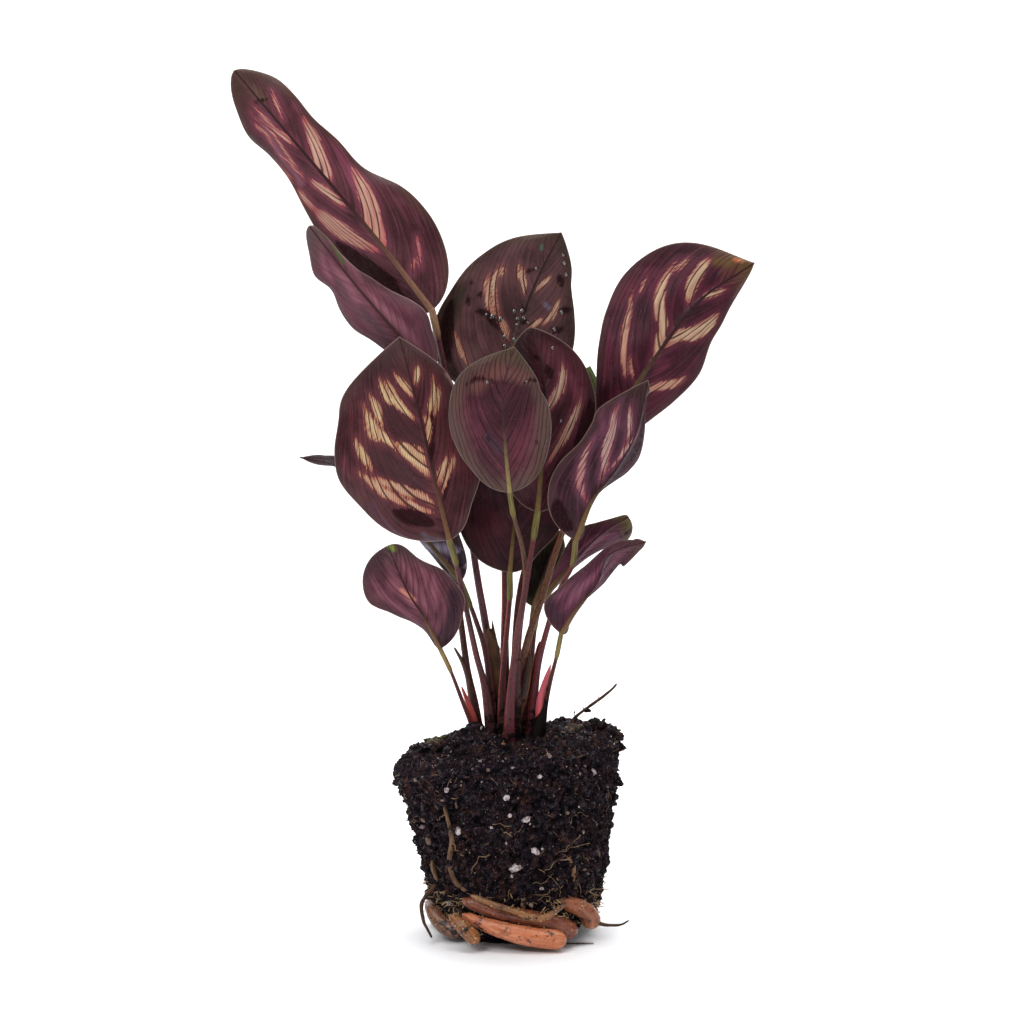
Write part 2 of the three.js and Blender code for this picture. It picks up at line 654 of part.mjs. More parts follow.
// The ball without its holes: a turned outline with relief, and clods and pale grains pressed into it.
function soilBall() {
  const corners = [
    [FOOT_RADIUS, 0],
    [FOOT_RADIUS + 8, 8],
    [BASE_RADIUS, BASE_HEIGHT],
    [RIM_RADIUS, RIM_HEIGHT],
    [RIM_RADIUS - 4, RIM_HEIGHT + 4],
    [CROWN_RADIUS, CROWN_HEIGHT - 2],
    [0, CROWN_HEIGHT],
  ];
  const outline = [];
  for (let k = 1; k < corners.length; k++) {
    const [r0, z0] = corners[k - 1];
    const [r1, z1] = corners[k];
    const steps = Math.ceil(Math.hypot(r1 - r0, z1 - z0) / SOIL_STEP);
    for (let i = 0; i < steps; i++) outline.push([lerp(r0, r1, i / steps), lerp(z0, z1, i / steps)]);
  }
  const points = [];
  const triangles = [];
  outline.forEach(([r, z], k) => {
    const onTop = clamp((z - RIM_HEIGHT) / 3, 0, 1);
    for (let i = 0; i < SOIL_COLUMNS; i++) {
      const angle = (2 * Math.PI * (i + 0.5 * (k % 2))) / SOIL_COLUMNS;
      const relief = z === 0 ? 0 : SOIL_RELIEF * bumps(r * Math.cos(angle), r * Math.sin(angle), z);
      const x = (r + relief * (1 - onTop)) * Math.cos(angle) + leanAt(z);
      const y = (r + relief * (1 - onTop)) * Math.sin(angle);
      points.push(new THREE.Vector3(x, y, z + (relief + moundAt(x, y)) * onTop + slopeAt(x, z)));
    }
    if (k > 0) band((k - 1) * SOIL_COLUMNS, k * SOIL_COLUMNS, SOIL_COLUMNS, triangles);
  });
  points.push(new THREE.Vector3(0, 0, 0), new THREE.Vector3(leanAt(RIM_HEIGHT), 0, CROWN_HEIGHT));
  cap(0, SOIL_COLUMNS, points.length - 2, true, triangles);
  cap((outline.length - 1) * SOIL_COLUMNS, SOIL_COLUMNS, points.length - 1, false, triangles);
  const clods = lumps(CLODS, (size) => new THREE.IcosahedronGeometry(size));
  const grains = lumps(GRAINS, (size) => new THREE.OctahedronGeometry(size));
  let ball = solidFrom(closedGeometry(points, triangles));
  for (const lump of [...clods, ...grains]) ball = ball.add(lump);
  return ball;
}

// Lumps sunk into the ball's wall and top, clear of the stalks and the storage roots. Three in ten are
// on top.
function lumps({ count, sizes, seed }, shapeOf) {
  const random = randomFrom(seed);
  return Array.from({ length: count }, () => {
    const size = lerp(...sizes, random() ** 2);
    const angle = 2 * Math.PI * random();
    const onTop = random() < 0.3;
    const z = onTop ? RIM_HEIGHT + 4 : lerp(BASE_HEIGHT + 10, RIM_HEIGHT - 2, Math.sqrt(random()));
    const r = onTop ? lerp(32, RIM_RADIUS - 4, random()) : wallRadius(z) - 0.3 * size;
    const shape = shapeOf(size);
    shape.rotateX(6 * random()).rotateZ(6 * random());
    shape.scale(1, 0.8 + 0.3 * random(), 0.65 + 0.3 * random());
    const x = r * Math.cos(angle) + leanAt(z);
    shape.translate(x, r * Math.sin(angle), z + slopeAt(x, z));
    return solidFrom(shape);
  });
}

function namedMesh(name, geometry, look) {
  const material = new THREE.MeshStandardMaterial({ ...look, metalness: 0, flatShading: true });
  const mesh = new THREE.Mesh(geometry, material);
  mesh.name = name;
  return mesh;
}

const plant = new THREE.Group();
let soil = soilBall();

// Adds a piece that stands in the soil, which gives way round it.
function plantPiece(name, shape, look) {
  plant.add(namedMesh(name, geometryFrom(shape(0)), look));
  soil = soil.subtract(shape(GAP));
}

for (const leaf of LEAVES) {
  const wing = WINGS[leaf.name];
  const stalk = (grow) => {
    const bare = solidFrom(stalkGeometry(leaf, grow));
    return wing ? bare.add(solidFrom(rootGeometry(wing, 6, 6, grow))) : bare;
  };
  plantPiece(`${leaf.name}_stalk`, stalk, COLOURS.stalk);
  plant.add(namedMesh(`${leaf.name}_blade`, bladeGeometry(leaf), COLOURS.blade));
}
plantPiece("dry_sheath", (grow) => solidFrom(rootGeometry(DRY_SHEATH, 8, 7, grow)), COLOURS.dry);

for (const tuber of TUBERS) {
  const shape = (grow) => solidFrom(rootGeometry(tuber, TUBER_RINGS, TUBER_SIDES, grow));
  plantPiece(`tuber_${tuber.name}`, shape, COLOURS.tuber);
}

for (const root of ROOTS) {
  const path = root.path ?? root.side.map(onFrontWall);
  const route = { path, radii: root.radii };
  const shape = (grow) => solidFrom(rootGeometry(route, ROOT_RINGS, ROOT_SIDES, grow));
  plantPiece(`root_${root.name}`, shape, COLOURS.root);
}

// Scraps that the cuts leave loose are dropped.
const [ball] = soil.decompose().sort((a, b) => b.volume() - a.volume());
plant.add(namedMesh("soil", geometryFrom(ball), COLOURS.soil));

export default plant;
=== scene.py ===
import itertools
import math
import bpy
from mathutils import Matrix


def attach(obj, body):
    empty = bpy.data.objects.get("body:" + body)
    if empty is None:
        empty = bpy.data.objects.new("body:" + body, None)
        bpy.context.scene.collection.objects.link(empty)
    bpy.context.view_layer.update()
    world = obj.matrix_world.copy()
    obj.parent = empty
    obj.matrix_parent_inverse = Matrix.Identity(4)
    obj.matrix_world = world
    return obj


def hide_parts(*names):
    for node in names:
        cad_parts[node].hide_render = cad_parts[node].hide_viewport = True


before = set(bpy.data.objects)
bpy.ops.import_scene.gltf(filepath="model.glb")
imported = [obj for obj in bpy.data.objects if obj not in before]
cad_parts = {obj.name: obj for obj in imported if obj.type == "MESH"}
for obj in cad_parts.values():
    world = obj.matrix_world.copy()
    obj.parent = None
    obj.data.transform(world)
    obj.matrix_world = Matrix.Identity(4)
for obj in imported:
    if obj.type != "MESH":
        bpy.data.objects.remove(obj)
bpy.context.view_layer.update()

from types import SimpleNamespace

import bpy
import numpy as np
from mathutils import Vector, noise

# The looks of a peacock plant lifted out of its pot: fine blades with their marks, stalks, soil,
# storage roots and the small things on them. Sizes are in millimetres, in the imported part's frame, and
# every piece is scaled to metres when its mesh is made.
MM = 0.001
SHARP_ANGLE = 62

# The soil ball's outline, the same as the solid one's.
FOOT_RADIUS = 28
BASE_RADIUS = 40
BASE_HEIGHT = 21
RIM_RADIUS = 52
RIM_HEIGHT = 85
CROWN_RADIUS = 24
CROWN_HEIGHT = 93
TOP_SLOPE = 0.15
LEAN = 4
SOIL_RELIEF = 1.5
SOIL_GRID = 0.76
FOOT_GRID = 4
CRUMB_RELIEF = 2.3
MOUNDS = [
    (-20, -14, 10, 8), (-34, -8, 3, 8), (-8, -24, 3, 7), (4, -30, -3, 8),
    (24, -14, 2.5, 9), (-44, 6, 3, 7), (44, -8, 3, 7),
]

# How many small things there are, and how storage roots are beset with them.
CRUMBS = 5200
CRUMBS_AT_FOOT = 22
SMALL_GRAINS = 430
TOP_GRAINS = 330
LOOSE_FIBRES = 520
BRISTLES = 760
ROOT_RINGS = 64
WALL_LIFT = 1.1
TUBER_SPOTS = 74
NUBS = 26
HAIRS = 34
FEW_HAIRS = 18

# The photo's view, the same as the camera's: how far the eye is from the plant's middle, how steeply it
# looks down, and the size of a photo pixel at the plant.
EYE_DISTANCE = 1500
LOOK_DOWN = math.radians(5)
VIEW_HEIGHT = 197.5
PIXEL = 0.465
PHOTO_CENTRE = 512

# Stalks and midribs, the same as the solid ones.
STALK_FOOT_Z = 84
SHEATH_RADIUS = 2.2
STALK_RADIUS = 1.45
NECK_RADIUS = 1.0
JOINT_RADIUS = 1.4
JOINT_LENGTH = 14
RIB_HEIGHT = 1.3
RIB_HALF_WIDTH = 1.15
TIP_HALF_WIDTH = 0.45
FOOT_SWELL = 0.3
STALK_SIDES = 22

# A blade's half thickness, the room between strong side veins, and how those veins leave the midrib:
# the length along it for each millimetre out, at the foot and at the tip, on the left and on the right.
BLADE_HALF = 0.24
PLAIN_SWEEP = ((0.9, 2.0), (0.9, 2.0))
VEIN_SWEEPS = {
    "tall_left": ((1.9, 3.4), (0.9, 2.4)), "broad_left": ((0.3, 2.3), (1.0, 2.4)),
    "back_centre": ((0.6, 1.6), (0.8, 2.2)), "large_right": ((0.7, 1.5), (0.8, 2.8)),
    "mid_right": ((1.4, 1.4), (1.3, 1.5)), "narrow_right": ((1.0, 3.2), (1.2, 2.5)),
}
SWEEP_POWER = 1.6
VEIN_PITCH = 6
QUILT = 0.22
PUCKER = 1.9
FINDER_ROWS = 420
FINDER_COLUMNS = 140
STROKE_POINTS = 14
DROP_SHAPE = (0.52, 0.58, 0.34)
DROP_BASE = -0.15

# Each leaf: rib is the line of its midrib, stalk the line from the soil, whose first spot has only x
# and y, widths the half widths at even steps on the left and on the right, and fold and curl how each
# half turns in degrees. ruffle is the height of the waves along the edge, their number and where they
# start on each side, face the way it looks in degrees, girth the stalk's share and tip its bluntness.
PLAIN_LEAF = dict(face=[0, 0], fold=([0, 0], [0, 0]), tip=0.95)
LEAVES = {
    "tall_left": dict(
        rib=[[-37, 0, 291], [-63.5, 5, 325], [-100, 10, 368], [-129, 16, 402]],
        stalk=[[-7, 5.5], [-8.5, 5, 119], [-13, 4.2, 148], [-17, 3, 172], [-26, 2, 235], [-34, 0.5, 277]],
        widths=([13, 19, 22, 23, 17.5, 14, 15.5, 17, 11], [20, 25, 26, 24.5, 18, 17, 13.5, 13.5, 12]),
        fold=([5, 10, 10, 5], [5, 0]), curl=([25, 20], [20, 20]), ruffle=[3, 2.2, 0.1, 0.55], girth=1.25,
        tip=0.6,
    ),
    "curled_left": dict(
        rib=[[-37, -14, 263], [-52.5, -17, 281], [-73, -19, 305], [-92.5, -19, 330]],
        stalk=[[-14.5, 0.5], [-18, 0, 108], [-21.5, 0, 128], [-26, -0.5, 165], [-31, -5.5, 215],
            [-35.5, -12, 254]],
        widths=([5.5, 8.5, 10, 11, 14, 14, 11, 12, 7.5], [11, 13.6, 16.3, 16.2, 14, 10.5, 5, 4, 5]),
        fold=([0, 5], [5, 10, 25, 20]), curl=([20, 20], [20, 30]), ruffle=[1.8, 2.4, 0.2, 0.5], girth=1.1,
        tip=0.5,
    ),
    "broad_left": dict(
        rib=[[-28.7, -27, 187], [-35, -30, 214], [-42, -32, 245], [-51, -33, 280]],
        stalk=[[-8.5, -9.5], [-12, -10.5, 114], [-16.5, -12, 132], [-20.5, -14.5, 151], [-25.5, -23, 175]],
        widths=([31, 38.5, 44, 43.5, 39, 29], [13.5, 22, 24.5, 23, 19.5, 14]), fold=([0, 0], [8, 5]),
        curl=([28, 25], [30, 25]), ruffle=[1.6, 1.5, 0.55, 0.1], girth=1.05,
    ),
    "back_centre": dict(
        rib=[[-7, 7, 247], [2, 10, 280], [12, 12, 306], [23, 13, 327]],
        stalk=[[-4, 11], [-3.5, 9, 130], [-3.5, 7, 172], [-5, 6, 210], [-7, 6, 235]],
        widths=([34, 38.5, 36, 32, 25, 15], [24, 29, 28, 24, 18, 12]), fold=([0, 0], [0, 5]),
        curl=([22, 22], [22, 22]), ruffle=[1.2, 1.3, 0.3, 0.8], face=[8, 0], girth=1.1,
    ),
    "small_front": dict(
        rib=[[-1, -42, 210], [-3, -46, 232], [-4, -48, 256], [1, -49, 276]],
        stalk=[[2, -11.5], [2.5, -17, 134], [6, -22, 165], [5, -28, 182], [0.5, -38, 200]],
        widths=([15.5, 22, 25.5, 25.5, 21.5, 12], [17, 21, 22.5, 21, 17, 12]), curl=([30, 25], [30, 25]),
        ruffle=[0.8, 1.2, 0.1, 0.4], girth=0.9,
    ),
    "mid_right": dict(
        rib=[[11.7, -27, 200], [14, -29, 228], [15, -28, 256], [8, -24, 284]],
        stalk=[[-1.5, -18], [-0.8, -22, 112], [2.1, -26, 141], [6, -28.5, 164], [9.8, -28, 188]],
        widths=([17, 21.5, 24, 25, 23, 17], [14.5, 19.5, 22.5, 24, 21, 15]), fold=([0, 0], [5, 5]),
        curl=([28, 25], [28, 25]), ruffle=[1.2, 1.4, 0.6, 0.2], face=[-4, 0], girth=1.1, tip=0.7,
    ),
    "narrow_right": dict(
        rib=[[29, -31, 187], [36, -37, 205], [47, -42, 220], [56, -45, 237], [61, -47, 261]],
        stalk=[[7, -9.5], [9.8, -10, 109], [12.5, -12, 129], [17, -13, 147], [22, -16, 163],
            [27.5, -26, 175]],
        widths=([18, 22.5, 22, 21, 20.5, 17.5], [5, 13, 18, 17, 12, 7]),
        fold=([0, 5], [80, 78, 70, 66, 66]), curl=([14, 16], [5, 15]), ruffle=[1.2, 1.6, 0.1, 0.3],
        face=[-4, 0], girth=1,
    ),
    "large_right": dict(
        rib=[[43, -6, 235], [63, -6, 265], [86, -3, 295], [112, 0, 313]],
        stalk=[[1.8, -5.5], [2.8, -9, 115], [7, -12.5, 138], [13.2, -14.5, 157], [21.8, -14, 185],
            [36.5, -8, 225]],
        widths=([16.5, 25, 33, 37, 31, 18], [14.5, 20.5, 22, 16.5, 14.5, 9]), fold=([0, 0], [5, 5]),
        curl=([30, 22], [25, 20]), ruffle=[2, 1.9, 0.7, 0.15], face=[-8, 0], girth=1.2,
    ),
    "low_right": dict(
        rib=[[22.5, -28.5, 144], [29, -31.5, 155], [39, -33, 168], [44.5, -34.5, 181], [61, -35, 187]],
        stalk=[[12.5, -12], [15, -14.5, 106], [17.5, -18.5, 120], [20.5, -24, 133]],
        widths=([14.5, 14, 14.5, 14, 9.5, 7.5], [5, 6, 11, 14, 13, 10]),
        fold=([0, 20, 50, 62, 50], [75, 80, 68, 45, 25]), curl=([15, 10], [5, 10]),
        ruffle=[0.8, 1.6, 0.5, 0.1], girth=0.85,
    ),
    "low_right_back": dict(
        rib=[[13, -2, 155], [23, -5, 168], [34, -8, 181], [44, -9, 190], [54, -9, 196]],
        stalk=[[8, 0.5], [9, 0, 110], [9.5, -0.5, 130], [11, -1, 145]],
        widths=([4, 9, 11.5, 10.5, 6, 3.5], [5, 5.5, 7, 11.5, 14, 15]),
        fold=([50, 50, 40, 30, 40], [60, 65, 55, 45, 35]), curl=([8, 10], [8, 10]),
        ruffle=[0.8, 1.5, 0.2, 0.6], girth=0.85, tip=0.4,
    ),
    "low_left": dict(
        rib=[[-33, -21, 136], [-40, -26, 151], [-48, -28, 164], [-57, -22, 184]],
        stalk=[[-15.5, -8], [-18.5, -9.5, 98], [-22.8, -12.5, 110], [-28.2, -17, 125]],
        widths=([3, 6, 9, 13, 20, 19], [14, 20.5, 21, 20, 18, 10.5]), fold=([20, 0], [0, 0]),
        curl=([20, 25], [18, 20]), ruffle=[1.2, 1.5, 0.5, 0.2], face=[2, -5], girth=0.8, tip=0.4,
    ),
    "hidden_left": dict(
        rib=[[-23.7, -9, 166], [-39, -12, 185], [-59, -14, 206], [-77, -15, 219], [-97.5, -15, 224]],
        stalk=[[-8.7, -3.8], [-10.2, -4.4, 115], [-12.7, -5, 134], [-17, -6, 148], [-20.8, -7.5, 158.5]],
        widths=([7, 9, 9, 7, 5, 3.5], [12, 17, 18, 14, 8, 4.5]),
        fold=([50, 60, 70, 72, 65], [5, 10, 40, 45, 45]), curl=([8, 10], [20, 20]),
        ruffle=[0.8, 1.4, 0.3, 0.1], girth=0.95,
    ),
    "broad_back": dict(
        rib=[[-1, -8, 170], [1, -9, 192], [3, -9, 214], [4, -7, 237]],
        stalk=[[-4.5, -6], [-4.5, -7, 117], [-2.8, -8, 138], [-1, -8, 158]],
        widths=([21, 26.5, 28, 27, 24, 16], [12.5, 20, 23, 23, 19.5, 12]), curl=([22, 20], [22, 20]),
        ruffle=[0.8, 1.2, 0.4, 0.9], girth=1,
    ),
    "dark_back": dict(
        rib=[[10, 10, 152], [14, 12, 164], [18, 13, 176], [23, 13, 188]],
        stalk=[[6, 7], [7, 7.5, 115], [8.5, 9, 138]],
        widths=([9, 11, 11.5, 10, 7, 4.5], [5, 6.5, 7.5, 7.5, 6, 4.5]), curl=([25, 20], [25, 20]),
        ruffle=[0.6, 1.2, 0.4, 0.9], face=[-10, 0], girth=0.8,
    ),
    "rear_green": dict(
        rib=[[21, 16, 216], [26, 20, 231], [31, 25, 247], [37, 29, 264]],
        stalk=[[1, 6.5], [2.5, 9, 150], [9, 13, 180], [18, 15.5, 206]],
        widths=([11, 14, 15, 14, 12, 8], [9, 12, 13, 13, 12, 8]), curl=([25, 20], [25, 20]),
        ruffle=[0.8, 1.3, 0.4, 0.9], face=[190, 10], girth=0.9,
    ),
}

# Thin sheath edges that stand off three stalks, and the papery bract: a path and radii.
WINGS = {
    "low_right": (
        [[13, -13.5, 93], [13, -13.5, 108], [15, -13.8, 118], [18, -14, 128]], [1.7, 2.1, 1.6, 0.4],
    ),
    "low_left": ([[-16, -7, 92], [-18.7, -7.5, 104], [-23.5, -8.5, 117]], [2, 1.6, 0.5]),
    "curled_left": ([[-19.3, -0.5, 116], [-22.5, -1, 126], [-27, -2.5, 134.5]], [1.6, 1.1, 0.5]),
}
DRY_SHEATH = (
    [[-6.3, 0.6, STALK_FOOT_Z], [-7.2, 0.2, 108], [-8.2, -0.2, 128], [-10.8, -0.6, 143]],
    [2.9, 3.0, 2.9, 1.6],
)

# Storage roots: a path, radii, and dark, middle and light colours.
TUBERS = {
    "front_long": (
        [[-23, -39, 16], [-10, -44, 11.5], [7, -46.5, 7.5], [25, -45, 5]], [1.8, 3.4, 4.4, 4.9],
        ((154, 80, 46), (192, 112, 74), (218, 146, 108)),
    ),
    "front_middle": (
        [[-23, -36, 22], [-6, -39, 17], [12, -38.5, 12.5], [30, -34.5, 6.5]], [2.6, 4, 4.5, 4.8],
        ((84, 38, 24), (130, 68, 46), (156, 96, 70)),
    ),
    "front_right": (
        [[21, -33, 21], [31, -29, 17], [36, -26.5, 12], [36.5, -25, 6.5]], [3, 4, 4.4, 4.4],
        ((106, 52, 30), (148, 84, 54), (180, 118, 80)),
    ),
    "front_cross": (
        [[-19, -42, 25.5], [-8, -44.5, 21.5], [2, -46, 18.5], [9, -46.5, 16], [16, -46, 16.5],
            [24, -41, 21]],
        [1.0, 1.4, 1.5, 1.7, 1.5, 1.1], ((92, 56, 30), (142, 94, 54), (178, 128, 80)),
    ),
    "front_left": (
        [[-28.5, -40, 16], [-22, -44.8, 11], [-15.2, -46, 4.2]], [2.2, 3.3, 3.4],
        ((104, 58, 30), (152, 92, 50), (186, 128, 72)),
    ),
    "left": (
        [[-39, -17, 15.5], [-33, -22, 8.5], [-24, -28, 4]], [2.8, 3.9, 3.6],
        ((90, 56, 42), (136, 90, 68), (168, 120, 94)),
    ),
    "left_back": (
        [[-35, -3, 16], [-36, 12, 9], [-29, 25, 5.2]], [3, 5.2, 4.8],
        ((64, 38, 28), (104, 66, 50), (136, 92, 70)),
    ),
    "back": (
        [[-24, 33, 16], [-7, 38, 10], [11, 37, 5.6]], [3, 5.4, 5.2],
        ((88, 44, 26), (130, 70, 44), (166, 106, 70)),
    ),
    "right_back": (
        [[24, 32, 14], [33, 20, 8.5], [38, 6, 5]], [3, 5, 4.6],
        ((88, 44, 26), (130, 70, 44), (166, 106, 70)),
    ),
}

# Thin roots: a path and radii. A path on the ball's front wall has only x and z.
ROOTS = {
    "front_left_long": (
        [[-31, 66], [-27.5, 52], [-28.5, 41], [-26.5, 31], [-21, 26]], [0.8, 1.2, 1.3, 1.3, 0.9],
    ),
    "left_short": ([[-37, 38], [-36, 33], [-34.5, 28]], [0.9, 1.3, 0.8]),
    "front_right_arc": ([[23, 44], [28, 38], [28, 30]], [0.7, 1.1, 0.8]),
    "right_stray": (
        [[37, -26, 10], [42, -27.4, 8.8], [46, -28, 8.5], [50.5, -28.5, 9], [54, -29, 11]],
        [0.9, 0.8, 0.6, 0.4],
    ),
    "left_loop": (
        [[-34.5, -17.5, 26], [-41.5, -21, 18], [-41, -23.5, 10], [-37, -30, 3]], [1, 0.9, 0.8, 0.5],
    ),
    "twig": (
        [[27, -5, 92], [28.6, -6, 100.5], [33.4, -6, 105.3], [40, -6, 110], [46, -6.5, 114.8],
            [48.8, -7, 118]],
        [1.1, 1.15, 0.65, 0.7, 0.75, 0.6, 0.5],
    ),
}

